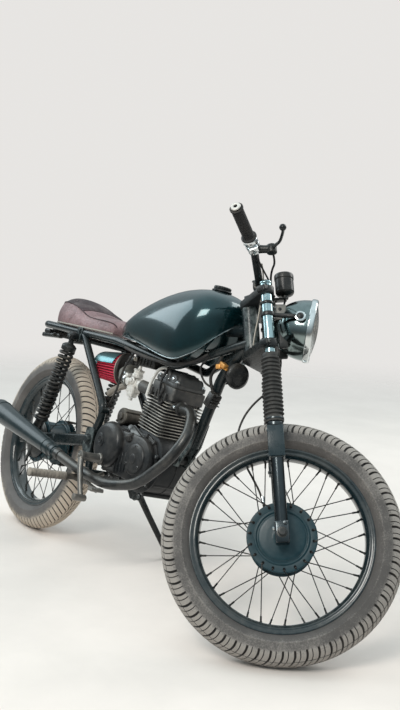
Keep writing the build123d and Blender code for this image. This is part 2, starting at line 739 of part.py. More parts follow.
with BuildPart() as crankcase:
    add_case_hull(-case_half, case_half, gearbox_round, crank_round)
    with BuildSketch(barrel_plane):
        RectangleRounded(112, 112, 14)
    extrude(amount=-40)
    with BuildSketch(barrel_plane):
        Rectangle(190, 190)
    extrude(amount=40, mode=Mode.SUBTRACT)
    add_rod((798, -14.7, 420), (798, 14.7, 420), 14)
    add_rod((770, -14.7, 415), (770, 14.7, 415), 22)

# Where the screws of the clutch cover stand, each with its circle of the outline and its angle
clutch_screws = [
    # circle x, circle radius, angle
    (gearbox_x, clutch_round, 100),
    (gearbox_x, clutch_round, 135),
    (gearbox_x, clutch_round, 175),
    (gearbox_x, clutch_round, 215),
    (gearbox_x, clutch_round, 255),
    (crank_x, crank_cover_round, -80),
    (crank_x, crank_cover_round, -45),
    (crank_x, crank_cover_round, 0),
    (crank_x, crank_cover_round, 45),
    (crank_x, crank_cover_round, 80),
]
with BuildPart() as engine_covers:
    start = -case_half
    add_case_hull(start - cover_deep, start, clutch_round, crank_cover_round)
    for x, radius, angle in clutch_screws:
        at = (x + (radius - 3) * cos(angle), crank_z + (radius - 3) * sin(angle))
        add_rod((at[0], start, at[1]), (at[0], start - cover_deep - 2, at[1]), cover_boss)
    add_turning((gearbox_x - 4, start - cover_deep, 398), (0, -1, 0), [(0, -4), (72, -4), (72, 12), (64, 21), (56, 24), (0, 24)])
    add_turning((gearbox_x - 20, start - cover_deep - 24, 412), (0, -1, 0), [(0, -4), (24, -4), (24, 6), (18, 6), (18, 2), (0, 2)])
    add_rod((crank_x, start - cover_deep, crank_z), (crank_x, start - cover_deep - 10, crank_z), 46)
    add_turning((crank_x, case_half, crank_z), (0, 1, 0), [(0, 0), (84, 0), (84, 24), (72, 34), (60, 35), (60, 44), (0, 44)])
    for angle in range(30, 390, 60):
        at = (crank_x + 81 * cos(angle), crank_z + 81 * sin(angle))
        add_rod((at[0], case_half, at[1]), (at[0], case_half + 28, at[1]), cover_boss)

with BuildPart() as cylinder:
    with BuildSketch(barrel_plane):
        RectangleRounded(98, 104, 22)
    extrude(amount=head_base)
    for index in range(barrel_fins):
        with BuildSketch(barrel_plane.offset(6 + index * fin_pitch)):
            RectangleRounded(fin_long, fin_wide, 15)
        extrude(amount=fin_thick)

with BuildPart() as cylinder_head:
    with BuildSketch(barrel_plane.offset(head_base)):
        RectangleRounded(100, 108, 18)
    extrude(amount=cover_base - head_base)
    for index in range(head_fins):
        with BuildSketch(barrel_plane.offset(head_base + 2 + index * fin_pitch)):
            RectangleRounded(fin_long + 2, fin_wide + 2, 15)
        extrude(amount=fin_thick)
    add_rod(tuple(port), tuple(port + port_way * port_reach), 21)
    add_rod(tuple(inlet), tuple(inlet + intake_way * inlet_reach), 19)

with BuildPart() as rocker_cover:
    with BuildSketch(barrel_plane.offset(cover_base)):
        RectangleRounded(110, 112, 20)
    extrude(amount=14)
    with BuildSketch(barrel_plane.offset(cover_base + 14)):
        RectangleRounded(96, 96, 24)
    extrude(amount=30, taper=12)
    with BuildSketch(barrel_plane.offset(cover_base + 6)):
        with GridLocations(96, 98, 2, 2):
            Circle(9)
    extrude(amount=22)
    for side in (-1, 1):
        cap = barrel_plane.from_local_coords(Vector(side * 30, 0, cover_base + 26))
        cap_end = barrel_plane.from_local_coords(Vector(side * 62, 0, cover_base + 34))
        add_rod(tuple(cap), tuple(cap_end), 17)

starter_radius = 28.0
starter_x = gearbox_x - 16
starter_z = crank_z + gearbox_round + starter_radius + running_gap
with BuildPart() as starter_motor:
    add_turning((starter_x, -66, starter_z), (0, 1, 0), [
        (0, 0), (22, 0), (starter_radius, 5), (starter_radius, 16), (starter_radius - 2, 17),
        (starter_radius - 2, 92), (starter_radius, 93), (starter_radius, 110), (20, 112), (0, 112),
    ])

carb_face = inlet + intake_way * (inlet_reach + 0.3)
carb_middle = carb_face + intake_way * carb_length * 0.52
with BuildPart() as carburettor:
    add_rod(tuple(carb_face), tuple(carb_face + intake_way * carb_length), 21)
    add_rod(tuple(carb_middle - intake_up * 46), tuple(carb_middle + intake_up * 48), 24)
    add_rod(tuple(carb_middle - intake_up * 70), tuple(carb_middle - intake_up * 24), 26)

duct_face = carb_face + intake_way * (carb_length + 0.3)
with BuildPart() as intake_duct:
    add_rod(tuple(duct_face), tuple(duct_face + intake_way * duct_length), 29)

filter_face = duct_face + intake_way * (duct_length + 0.3)
with BuildPart() as air_filter:
    add_turning(tuple(filter_face), tuple(intake_way), [
        (0, 0), (44, 0), (46, 6), (42, 10), (35, filter_length - 12), (37, filter_length - 10), (36, filter_length - 2), (0, filter_length),
    ])

# Exhaust
port_face = port + port_way * port_reach
pipe_radius = 15.0
muffler_start = (355, -163, 321)
muffler_end = (-86, -190, 386)
muffler_way = (Vector(*muffler_end) - Vector(*muffler_start)).normalized()
pipe_points = [
    tuple(port_face + port_way * 0.3), tuple(port_face + port_way * 76), (892, -70, 496), (868, -98, 418), (770, -116, 322),
    (640, -134, 288), tuple(Vector(*muffler_start) - muffler_way * 146), tuple(Vector(*muffler_start) - muffler_way * 0.3),
]
with BuildPart() as exhaust_pipe:
    add_tube(pipe_points, pipe_radius, [40, 60, 60, 110, 200, 300])

with BuildPart() as muffler:
    along = Vector(*muffler_end) - Vector(*muffler_start)
    length = along.length
    add_turning(muffler_start, tuple(along), [
        (0, 0), (20, 0), (20, 30), (24, 36), (38, length - 46), (40, length - 40), (40, length - 14), (31, length - 3),
        (24, length), (24, length - 60), (0, length - 60),
    ])

# Foot and kick controls
with BuildPart() as kick_lever:
    add_tube([(540, -case_half - 54.3, 350), (540, -180, 350), (604, -186, 234)], 8, [16])

with BuildPart() as footpegs:
    for side in (-1, 1):
        outer = rail_spread + frame_tube
        add_plate([(438, 304), (468, 304), (488, 284), (488, 262), (462, 262), (438, 280)], side * (outer + 5.3) - 5, side * (outer + 5.3) + 5)
        add_rod((472, side * (outer + 8), 273), (455, side * 300, 263), 12)

with BuildPart() as foot_controls:
    add_tube([(500, -118, 268), (590, -135, 262), (668, -180, 270)], 6, [80])
    add_rod((668, -160, 270), (668, -205, 272), 11)
    add_rod((500, -case_half - 5, 300), (500, -126, 266), 7)
    add_tube([(580, case_half + 0.3, 322), (580, 96, 322), (690, 104, 296)], 6, [12])
    add_rod((690, 98, 296), (690, 148, 296), 10)

# Chain: a loop of rollers round both sprockets with the outer link plates on its two sides
rear_centre = Vector(0, rear_radius)
front_centre = Vector(front_sprocket_x, pivot_z)
centre_line = front_centre - rear_centre
line_angle = math.degrees(math.atan2(centre_line.Y, centre_line.X))
wrap_angle = math.degrees(math.acos((rear_chain_radius - front_chain_radius) / centre_line.length))
straight_run = math.sqrt(centre_line.length**2 - (rear_chain_radius - front_chain_radius) ** 2)
front_arc = math.radians(2 * wrap_angle) * front_chain_radius
rear_arc = math.radians(360 - 2 * wrap_angle) * rear_chain_radius
chain_length = 2 * straight_run + front_arc + rear_arc


def chain_place(distance):
    """The place of a link on the chain's loop and its slope, at a distance along the loop."""
    upper = line_angle + wrap_angle
    lower = line_angle - wrap_angle
    if distance < straight_run:
        start = rear_centre + Vector(cos(upper), sin(upper)) * rear_chain_radius
        return start + Vector(sin(upper), -cos(upper)) * distance, upper - 90
    distance -= straight_run
    if distance < front_arc:
        at = upper - math.degrees(distance / front_chain_radius)
        return front_centre + Vector(cos(at), sin(at)) * front_chain_radius, at - 90
    distance -= front_arc
    if distance < straight_run:
        start = front_centre + Vector(cos(lower), sin(lower)) * front_chain_radius
        return start + Vector(sin(lower), -cos(lower)) * distance, lower - 90
    at = lower - math.degrees((distance - straight_run) / rear_chain_radius)
    return rear_centre + Vector(cos(at), sin(at)) * rear_chain_radius, at - 90


with BuildPart() as drive_chain:
    roller_wide = chain_wide - 2 * link_plate
    link_length = chain_length / chain_links
    half_plate = link_length - 1
    for grow, mode in ((chain_tall / 2 - 1, Mode.ADD), (1 - chain_tall / 2, Mode.SUBTRACT)):
        with BuildSketch(Plane(origin=(0, chain_y - roller_wide / 2, 0), x_dir=(1, 0, 0), z_dir=(0, -1, 0))):
            with BuildSketch(mode=Mode.PRIVATE) as rounds:
                with Locations(rear_centre):
                    Circle(rear_chain_radius + grow)
                with Locations(front_centre):
                    Circle(front_chain_radius + grow)
            make_hull(rounds.sketch.edges())
        extrude(amount=-roller_wide, mode=mode)
    for low in (chain_y - chain_wide / 2, chain_y + roller_wide / 2):
        with BuildSketch(Plane(origin=(0, low, 0), x_dir=(1, 0, 0), z_dir=(0, -1, 0))):
            for link in range(0, chain_links, 2):
                place, slope = chain_place((link + 0.5) * link_length)
                with Locations(Location((place.X, place.Y, 0), (0, 0, slope))):
                    Polygon(
                        (-half_plate, 0), (3 - half_plate, -link_tall / 2), (half_plate - 3, -link_tall / 2),
                        (half_plate, 0), (half_plate - 3, link_tall / 2), (3 - half_plate, link_tall / 2), align=None,
                    )
        extrude(amount=-link_plate)

with BuildPart() as horn:
    add_rod((902.5, 0, 640), (938, 0, 640), 8)
    add_turning((938, 0, 640), (1, 0, 0), [(0, 0), (30, 0), (38, 6), (38, 16), (28, 24), (0, 26)])

with BuildPart() as side_stand:
    pivot = Vector(*stand_pivot)
    add_rod(tuple(pivot - stand_axis * (stand_eye / 2)), tuple(pivot + stand_axis * (stand_eye / 2)), 13)
    ankle = foot_ground + ground_up * 6
    add_rod(tuple(pivot + stand_axis * 3), tuple(ankle), stand_radius)
    add_rod(tuple(foot_ground), tuple(foot_ground + ground_up * 7), 21)

chassis_pieces = {
    "frame": frame.part, "swingarm": swingarm.part, "shock_absorbers": shock_absorbers.part, "fuel_tank": fuel_tank.part,
    "filler_cap": filler_cap.part, "seat": seat.part, "tail_lamp": tail_lamp.part, "crankcase": crankcase.part,
    "engine_covers": engine_covers.part, "cylinder": cylinder.part,
    "cylinder_head": cylinder_head.part, "rocker_cover": rocker_cover.part, "starter_motor": starter_motor.part,
    "carburettor": carburettor.part, "intake_duct": intake_duct.part, "air_filter": air_filter.part,
    "exhaust_pipe": exhaust_pipe.part, "muffler": muffler.part, "kick_lever": kick_lever.part,
    "footpegs": footpegs.part, "foot_controls": foot_controls.part, "drive_chain": drive_chain.part,
    "horn": horn.part, "rear_axle": rear_axle.part, "side_stand": side_stand.part,
    "rear_tyre": rear_tyre, "rear_rim": rear_rim, "rear_hub": rear_hub.part, "rear_spokes": rear_spokes.part,
}
steering_pieces = {
    "fork_tubes": fork_tubes.part, "fork_gaiters": fork_gaiters.part, "fork_sliders": fork_sliders.part,
    "fork_clamps": fork_clamps.part, "handlebar": handlebar.part,
    "grips": grips.part, "hand_levers": hand_levers.part, "headlamp_shell": headlamp_shell.part,
    "headlamp_lens": headlamp_lens.part, "speedometer": speedometer.part, "front_axle": front_axle.part,
    "brake_cable": brake_cable.part, "front_tyre": front_tyre, "front_rim": front_rim,
    "front_hub": front_hub.part, "front_spokes": front_spokes.part,
}

# Placing the pieces as the bike stands, with the origin on the ground under the middle of the whole
steered = standing * steering_plane.location * turned(z=steer_lock)
placed = {name: piece.moved(standing) for name, piece in chassis_pieces.items()}
placed.update({name: piece.moved(steered) for name, piece in steering_pieces.items()})
boxes = [piece.bounding_box() for piece in placed.values()]
middle_x = (min(box.min.X for box in boxes) + max(box.max.X for box in boxes)) / 2
middle_y = (min(box.min.Y for box in boxes) + max(box.max.Y for box in boxes)) / 2
to_origin = Location((-middle_x, -middle_y, 0))
os.makedirs("parts", exist_ok=True)
for name, piece in placed.items():
    centred = piece.moved(to_origin)
    centred.label = name
    export_step(centred, f"parts/{name}.step")
print("cable bends", [round(radius) for radius in cord_bends(cable_points)])
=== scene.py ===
import json
import math
import bpy
import bmesh
from mathutils import Matrix, Vector
from mathutils.kdtree import KDTree


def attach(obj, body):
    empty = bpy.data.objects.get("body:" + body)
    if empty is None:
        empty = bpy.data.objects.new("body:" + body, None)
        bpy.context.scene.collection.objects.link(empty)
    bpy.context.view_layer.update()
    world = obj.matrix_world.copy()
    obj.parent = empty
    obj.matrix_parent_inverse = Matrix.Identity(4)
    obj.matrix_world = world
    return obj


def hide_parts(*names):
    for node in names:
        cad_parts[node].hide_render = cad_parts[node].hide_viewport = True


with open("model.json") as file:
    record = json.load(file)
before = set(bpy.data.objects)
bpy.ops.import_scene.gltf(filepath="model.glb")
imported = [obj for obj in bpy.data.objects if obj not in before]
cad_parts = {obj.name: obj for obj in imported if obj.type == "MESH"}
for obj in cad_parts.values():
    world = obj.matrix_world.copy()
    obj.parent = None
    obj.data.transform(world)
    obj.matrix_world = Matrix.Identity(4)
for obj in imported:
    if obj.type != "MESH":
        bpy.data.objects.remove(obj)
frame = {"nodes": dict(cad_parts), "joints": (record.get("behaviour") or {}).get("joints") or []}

bl_info = {
    "name": "Cafe Racer Motorcycle",
    "version": (1, 0, 0),
    "blender": (4, 5, 0),
    "location": "View3D > Sidebar > Motorcycle",
    "description": "Dresses the motorcycle's frame with tyres, tank, seat, engine and fittings",
    "category": "Object",
}

nodes = frame["nodes"]
joints = {joint["name"]: joint for joint in frame["joints"]}
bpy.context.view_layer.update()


def sin(degrees):
    """The sine of an angle in degrees."""
    return math.sin(math.radians(degrees))


def cos(degrees):
    """The cosine of an angle in degrees."""
    return math.cos(math.radians(degrees))


# The chassis' own axes and the fork's own axes, in millimetres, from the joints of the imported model
steer_up = Vector(joints["steering_turn"]["axis"]).normalized()
chassis_left = Vector(joints["rear_wheel_spin"]["axis"]).normalized()
fork_left = Vector(joints["front_wheel_spin"]["axis"]).normalized()
slope = chassis_left.cross(steer_up)
caster = 26.0
chassis_forward = slope * cos(caster) - steer_up * sin(caster)
chassis_up = slope * sin(caster) + steer_up * cos(caster)
fork_forward = fork_left.cross(steer_up)


def own_axes(forward, left, up, known, at):
    """The matrix from a body's own millimetres to the model's metres, from one known place."""
    turn = Matrix((forward, left, up)).transposed() * 0.001
    place = turn.to_4x4()
    place.translation = Vector(known) - turn @ Vector(at)
    return place


rear_radius = 315.0
front_radius = 318.0
fork_offset = 48.0
rear_axle = Vector((0, 0, rear_radius))
front_axle = Vector((fork_offset, 0, 0))
chassis = own_axes(chassis_forward, chassis_left, chassis_up, joints["rear_wheel_spin"]["pos_m"], rear_axle)
fork = own_axes(fork_forward, fork_left, steer_up, joints["front_wheel_spin"]["pos_m"], front_axle)


# Shapes
def soften(points, size, closed=False, parts=3):
    """Rounds the corners of a line of points."""
    points = [Vector(point) for point in points]
    made = []
    last = len(points) - 1
    for index, point in enumerate(points):
        if not closed and index in (0, last):
            made.append(point)
            continue
        before = points[index - 1] - point
        after = points[(index + 1) % len(points)] - point
        start = point + before.normalized() * min(size, before.length * 0.45)
        end = point + after.normalized() * min(size, after.length * 0.45)
        for step in range(parts + 1):
            t = step / parts
            made.append(start * (1 - t) ** 2 + point * 2 * t * (1 - t) + end * t * t)
    return made


def flowing(points, parts=8, closed=False):
    """A smooth line through points."""
    points = [Vector(point) for point in points]
    made = []
    count = len(points)
    for index in range(count if closed else count - 1):
        a, b, c, d = (
            points[k % count] if closed else points[min(max(k, 0), count - 1)]
            for k in range(index - 1, index + 3)
        )
        for step in range(parts):
            t = step / parts
            made.append(
                0.5 * (2 * b + (c - a) * t + (2 * a - 5 * b + 4 * c - d) * t * t + (3 * b - a - 3 * c + d) * t**3)
            )
    if not closed:
        made.append(points[-1])
    return made


def rectangle(wide, tall, corner, parts=4):
    """A rectangle about the origin with rounded corners."""
    w, h = wide / 2, tall / 2
    return soften([(-w, -h), (w, -h), (w, h), (-w, h)], corner, True, parts)


def wrapped(circles, steps=40):
    """The outline stretched round circles, each given as x, y and radius."""
    points = sorted({
        (round(x + r * cos(360 * k / steps), 4), round(y + r * sin(360 * k / steps), 4))
        for x, y, r in circles for k in range(steps)
    })
    sides = []
    for run in (points, points[::-1]):
        side = []
        for point in run:
            while len(side) > 1 and (
                (side[-1][0] - side[-2][0]) * (point[1] - side[-2][1])
                <= (side[-1][1] - side[-2][1]) * (point[0] - side[-2][0])
            ):
                side.pop()
            side.append(point)
        sides.append(side[:-1])
    return [Vector(point) for point in sides[0] + sides[1]]


def shrunk(outline, size):
    """An outline moved inwards; the outline runs anticlockwise."""
    made = []
    for index, point in enumerate(outline):
        before = (point - outline[index - 1]).normalized()
        after = (outline[(index + 1) % len(outline)] - point).normalized()
        way = before + after
        if way.length < 1e-6:
            way = before
        way.normalize()
        made.append(point + Vector((-way.y, way.x)) * size)
    return made


def square_to(way):
    """Two directions square to a third."""
    way = Vector(way).normalized()
    helper = Vector((0, 0, 1)) if abs(way.z) < 0.9 else Vector((1, 0, 0))
    x = helper.cross(way).normalized()
    return x, way.cross(x), way


class Form:
    """The faces of one piece, gathered in millimetres in the chassis' or the fork's own axes."""

    def __init__(self, where):
        self.where = where
        self.points = []
        self.faces = []
        self.marks = []
        self.dust = []
        self.mark = 0
        self.dusty = 0.5

    def grid(self, rows, around=False, along=False, dust=None):
        """Faces between rows of points; around closes each row and along joins the last row to the first."""
        start = len(self.points)
        wide = len(rows[0])
        for number, row in enumerate(rows):
            self.points.extend(Vector(point) for point in row)
            self.dust.extend(dust[number] if dust else [self.dusty] * wide)
        for number in range(len(rows) - (0 if along else 1)):
            a = start + number * wide
            b = start + (number + 1) % len(rows) * wide
            for c in range(wide - (0 if around else 1)):
                d = (c + 1) % wide
                self.faces.append((a + c, a + d, b + d, b + c))
                self.marks.append(self.mark)
        return start

    def cap(self, start, count):
        """One face over the last ring of points."""
        self.faces.append(tuple(range(start, start + count)))
        self.marks.append(self.mark)

    def turn(self, origin, way, profile, steps=48, closed=False, pleats=0, depth=0.0):
        """A turned shape from pairs of radius and distance along the axis."""
        x, y, way = square_to(way)
        rows = []
        for radius, distance in profile:
            row = []
            for step in range(steps):
                angle = 360 * step / steps
                folded = pleats and step % (steps // pleats) < steps // pleats / 2
                out = radius + (depth if folded else 0) * min(1, radius)
                row.append(Vector(origin) + way * distance + (x * cos(angle) + y * sin(angle)) * out)
            rows.append(row)
        self.grid(rows, True, closed)

    def disc(self, at, way, radius, height, edge=1.0, steps=32, low=0):
        """A turned disc with softened edges, from low to height along its axis."""
        self.turn(at, way, soften([(0, low), (radius, low), (radius, height), (0, height)], edge), steps)

    def ring(self, at, way, inner, outer, height, edge=0.6, steps=48):
        """A turned ring with softened edges."""
        profile = [(inner, 0), (outer, 0), (outer, height), (inner, height)]
        self.turn(at, way, soften(profile, edge, True), steps, True)

    def rod(self, start, end, radius, edge=0.8, steps=24):
        """A straight round bar with softened ends."""
        along = Vector(end) - Vector(start)
        size = along.length
        self.turn(start, along, soften([(0, 0), (radius, 0), (radius, size), (0, size)], edge, parts=2), steps)

    def tube(self, path, radius, steps=12, open_ends=False):
        """A round tube along a line; the radius is one number, or one for each point."""
        path = [Vector(point) for point in path]
        count = len(path)
        radii = radius if isinstance(radius, (list, tuple)) else [radius] * count
        x = None
        rows = []
        for index, point in enumerate(path):
            way = (path[min(index + 1, count - 1)] - path[max(index - 1, 0)]).normalized()
            x = square_to(way)[0] if x is None else (x - way * x.dot(way)).normalized()
            y = way.cross(x)
            rows.append([
                point + (x * cos(360 * k / steps) + y * sin(360 * k / steps)) * radii[index]
                for k in range(steps)
            ])
        start = self.grid(rows, True)
        if not open_ends:
            self.cap(start, steps)
            self.cap(start + (count - 1) * steps, steps)

    def slab(self, outline, origin, x, y, depth, edge=1.0):
        """A plate or block from an outline, extruded square to x and y, with softened edges."""
        x, y = Vector(x).normalized(), Vector(y).normalized()
        way = x.cross(y)
        outline = [Vector(point) for point in outline]
        steps = [
            (0, edge), (edge * 0.3, edge * 0.3), (edge, 0), (depth - edge, 0), (depth - edge * 0.3, edge * 0.3),
            (depth, edge)
        ]
        rows = [
            [Vector(origin) + x * p.x + y * p.y + way * up for p in shrunk(outline, inwards)] for up, inwards in steps
        ]
        start = self.grid(rows, True)
        self.cap(start, len(outline))
        self.cap(start + 5 * len(outline), len(outline))

    def plate(self, outline, side, depth, edge=1.0):
        """A plate with its outline in X and Z; its depth runs to the right from side."""
        self.slab(outline, (0, side, 0), (1, 0, 0), (0, 0, 1), depth, edge)

    def block(self, centre, size, corner=2.0, x=(1, 0, 0), y=(0, 1, 0)):
        """A softened block about its centre, with its size along x, y and their normal."""
        x, y = Vector(x).normalized(), Vector(y).normalized()
        origin = Vector(centre) - x.cross(y) * size[2] / 2
        self.slab(rectangle(size[0], size[1], corner), origin, x, y, size[2], min(corner, size[2] * 0.3))

    def bolt(self, at, way, size=5.0, washer=True):
        """A hexagon bolt head with its washer."""
        way = Vector(way).normalized()
        if washer:
            self.rod(Vector(at), Vector(at) + way * size * 0.3, size * 1.35, size * 0.1, 18)
        head = soften(
            [(0, 0), (size, 0), (size, size * 0.8), (size * 0.8, size * 0.95), (0, size * 0.95)], size * 0.06, parts=1
        )
        self.turn(Vector(at) + way * size * 0.25, way, head, 6)

    def screw(self, at, way, size=4.0):
        """A round screw head with a shallow round recess."""
        self.turn(at, way, [
            (size, -0.3), (size, size * 0.3), (size * 0.8, size * 0.5), (size * 0.45, size * 0.55),
            (size * 0.3, size * 0.15), (0, size * 0.1)
        ], 14)

    def spring(self, start, end, radius, wire, turns, steps=9):
        """A wound spring between two points."""
        x, y, way = square_to(Vector(end) - Vector(start))
        length = (Vector(end) - Vector(start)).length
        count = int(turns * 20)
        path = []
        for step in range(count + 1):
            angle = 360 * turns * step / count
            path.append(Vector(start) + way * length * step / count + (x * cos(angle) + y * sin(angle)) * radius)
        self.tube(path, wire, steps)

    def make(self, name, body, finishes, stands_for=(), slot=None, sharp=35.0, subdivide=0):
        """The finished object, which rides on its body."""
        mesh = bpy.data.meshes.new(name)
        mesh.from_pydata([self.where @ point for point in self.points], [], self.faces)
        # the dust attribute carries dust, and for tyre cuts, fin edges and filter folds also painted shade and
        # painted highlight
        mesh.attributes.new("dust", "FLOAT", "POINT").data.foreach_set("value", self.dust)
        mesh.polygons.foreach_set("material_index", self.marks)
        work = bmesh.new()
        work.from_mesh(mesh)
        bmesh.ops.remove_doubles(work, verts=work.verts, dist=2e-6)
        bmesh.ops.dissolve_degenerate(work, edges=work.edges, dist=1e-7)
        bmesh.ops.recalc_face_normals(work, faces=work.faces)
        work.to_mesh(mesh)
        work.free()
        mesh.shade_smooth()
        mesh.set_sharp_from_angle(angle=math.radians(sharp))
        piece = bpy.data.objects.new(name, mesh)
        bpy.context.scene.collection.objects.link(piece)
        for finish in finishes if isinstance(finishes, (list, tuple)) else [finishes]:
            mesh.materials.append(material(finish))
        if subdivide:
            change = piece.modifiers.new("subdivision", "SUBSURF")
            change.levels = change.render_levels = subdivide
        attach(piece, body)
        if stands_for:
            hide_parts(*([stands_for] if isinstance(stands_for, str) else stands_for))
        return piece


# Materials
class Wire:
    """An output of a shader node, on which Python's operators add Math nodes."""

    def __init__(self, finish, socket):
        self.finish = finish
        self.socket = socket

    def maths(self, operation, *values):
        """A Math node of this operation on the values."""
        sockets = {number: value for number, value in enumerate(values)}
        return self.finish.add("ShaderNodeMath", {"operation": operation}, sockets)

    def __add__(self, other):
        return self.maths("ADD", self, other)

    def __radd__(self, other):
        return self.maths("ADD", other, self)

    def __sub__(self, other):
        return self.maths("SUBTRACT", self, other)

    def __rsub__(self, other):
        return self.maths("SUBTRACT", other, self)

    def __mul__(self, other):
        return self.maths("MULTIPLY", self, other)

    def __rmul__(self, other):
        return self.maths("MULTIPLY", other, self)

    def __truediv__(self, other):
        return self.maths("DIVIDE", self, other)

    def __pow__(self, other):
        return self.maths("POWER", self, other)

    def between(self, low, high):
        """0 at low, 1 at high, smooth between them."""
        return self.finish.add("ShaderNodeMapRange", {"interpolation_type": "SMOOTHSTEP"}, {0: self, 1: low, 2: high})

    def part(self, name):
        """X, Y or Z of a vector."""
        return self.finish.add("ShaderNodeSeparateXYZ", {}, {0: self}, name)


class Shader:
    """The nodes of a material or of the world."""

    def __init__(self, tree):
        self.tree = tree

    def add(self, kind, settings, sockets, out=0):
        """A node with its settings and inputs; gives one of its outputs."""
        node = self.tree.nodes.new(kind)
        for key, value in settings.items():
            setattr(node, key, value)
        for key, value in sockets.items():
            if isinstance(value, Wire):
                self.tree.links.new(value.socket, node.inputs[key])
            else:
                node.inputs[key].default_value = value
        return Wire(self, node.outputs[out])

    def mix(self, factor, first, second, kind="MIX"):
        """Two colours mixed by a factor."""
        first, second = (value if isinstance(value, Wire) else (*value, 1.0) for value in (first, second))
        return self.add(
            "ShaderNodeMix", {"data_type": "RGBA", "blend_type": kind, "clamp_factor": True},
            {0: factor, 6: first, 7: second}, 2
        )

    def place(self):
        """The place on the piece, in its own axes."""
        return self.add("ShaderNodeTexCoord", {}, {}, "Object")

    def noise(self, scale, detail=3.0, roughness=0.5, stretch=(1, 1, 1)):
        """Noise over the piece, stretched along its axes."""
        spot = self.add("ShaderNodeMapping", {}, {0: self.place(), 3: stretch})
        return self.add(
            "ShaderNodeTexNoise", {}, {"Vector": spot, "Scale": scale, "Detail": detail, "Roughness": roughness}
        )


class Finish(Shader):
    """A node material about one principled shader."""

    def __init__(self, name, **fixed):
        self.material = bpy.data.materials.new(name)
        self.material.use_nodes = True
        super().__init__(self.material.node_tree)
        self.shader = self.tree.nodes["Principled BSDF"]
        for socket, value in fixed.items():
            self.shader.inputs[socket.replace("_", " ")].default_value = value

    def upward(self):
        """1 where the surface faces up, -1 where it faces down."""
        return self.add("ShaderNodeNewGeometry", {}, {}, "Normal").part("Z")

    def edges(self):
        """1 on the convex edges."""
        return self.add("ShaderNodeNewGeometry", {}, {}, "Pointiness").between(0.55, 0.64)

    def marked(self):
        """The value that the form's rows carry as dust; for the tyres' cuts, the fins' edges and the filter's folds
        it also marks painted shade and painted highlight.
        """
        return self.add("ShaderNodeAttribute", {"attribute_name": "dust"}, {}, "Fac")

    def use(self, socket, value):
        """Puts an output into a socket of the principled shader."""
        self.tree.links.new(value.socket, self.shader.inputs[socket])

    def bump(self, height, distance, strength=1.0):
        """Puts a fine relief on the surface."""
        self.use(
            "Normal", self.add("ShaderNodeBump", {}, {"Strength": strength, "Distance": distance, "Height": height})
        )


def worn(name, colour, dirt=(0.36, 0.31, 0.25), dust=0.3, rough=0.45, grain=0.0002, bare=None, **fixed):
    """A painted, cast or moulded surface with uneven colour, dust on top and rubbed edges."""
    fixed.setdefault("Specular_IOR_Level", 0.34)
    finish = Finish(name, **fixed)
    broad = finish.noise(7.0, 4.0, 0.6)
    middle = finish.noise(45.0, 4.0, 0.6)
    fine = finish.noise(420.0, 2.0)
    shade = [min(1.0, part * 1.5 + 0.002) for part in colour]
    base = finish.mix(middle.between(0.3, 0.8) * 0.4, colour, shade)
    if bare:
        base = finish.mix(finish.edges() * middle.between(0.35, 0.6), base, bare)
    cover = (broad * 0.6 + middle * 0.4 + finish.upward() * 0.14 + fine * 0.12).between(0.46, 0.8) * dust
    base = finish.mix(cover, base, dirt)
    finish.use("Base Color", base)
    finish.use("Roughness", cover * 0.5 + middle * 0.16 + (rough - 0.08))
    if grain:
        finish.bump(fine * 0.7 + middle * 0.6, grain)
    return finish.material


def polished(name, colour, rough=0.12, dust=0.15, rubbed=None, **fixed):
    """Chromed or polished metal with faint streaks, dust and a dulled bloom; the rubbed colour, when given, is a
    painted highlight along the convex edges.
    """
    finish = Finish(name, Metallic=1.0, **fixed)
    broad = finish.noise(9.0, 4.0, 0.6)
    streaks = finish.noise(60.0, 3.0, 0.6, (1, 1, 0.15))
    fine = finish.noise(500.0, 2.0)
    cover = (broad * 0.7 + fine * 0.2 + finish.upward() * 0.1).between(0.45, 0.85) * dust
    tone = finish.mix(streaks.between(0.35, 0.7) * 0.35, colour, [part * 0.55 for part in colour])
    # painted highlight: the rubbed colour laid along the convex edges
    if rubbed:
        tone = finish.mix(finish.edges() * broad.between(0.3, 0.55), tone, rubbed)
    finish.use("Base Color", finish.mix(cover, tone, (0.3, 0.27, 0.23)))
    finish.use("Roughness", streaks * 0.12 + cover * 0.5 + (rough - 0.04))
    finish.bump(fine, 0.00005)
    return finish.material


def tyre_rubber(name, tread, wall):
    """Dusty rubber: the tread's tops are pale with road dust and the side walls are darker; the cuts are painted
    near-black as painted shade.
    """
    finish = Finish(name)
    marked = finish.marked()
    broad = finish.noise(11.0, 5.0, 0.65)
    fine = finish.noise(260.0, 4.0, 0.7)
    tops = (marked + (broad - 0.5) * 0.5 + (fine - 0.5) * 0.5).between(0.5, 0.85)
    side = finish.mix((broad * 0.7 + fine * 0.3).between(0.35, 0.68), list(wall), [part * 1.55 for part in wall])
    base = finish.mix(tops, side, list(tread))
    # painted shade: near-black where the form marks the tread's cuts
    base = finish.mix(marked.between(0.3, 0.0), base, (0.018, 0.017, 0.016))
    finish.use("Base Color", base)
    finish.use("Roughness", tops * 0.2 + fine * 0.14 + 0.62)
    finish.bump(fine * 0.8 + broad * 0.6, 0.0007)
    return finish.material


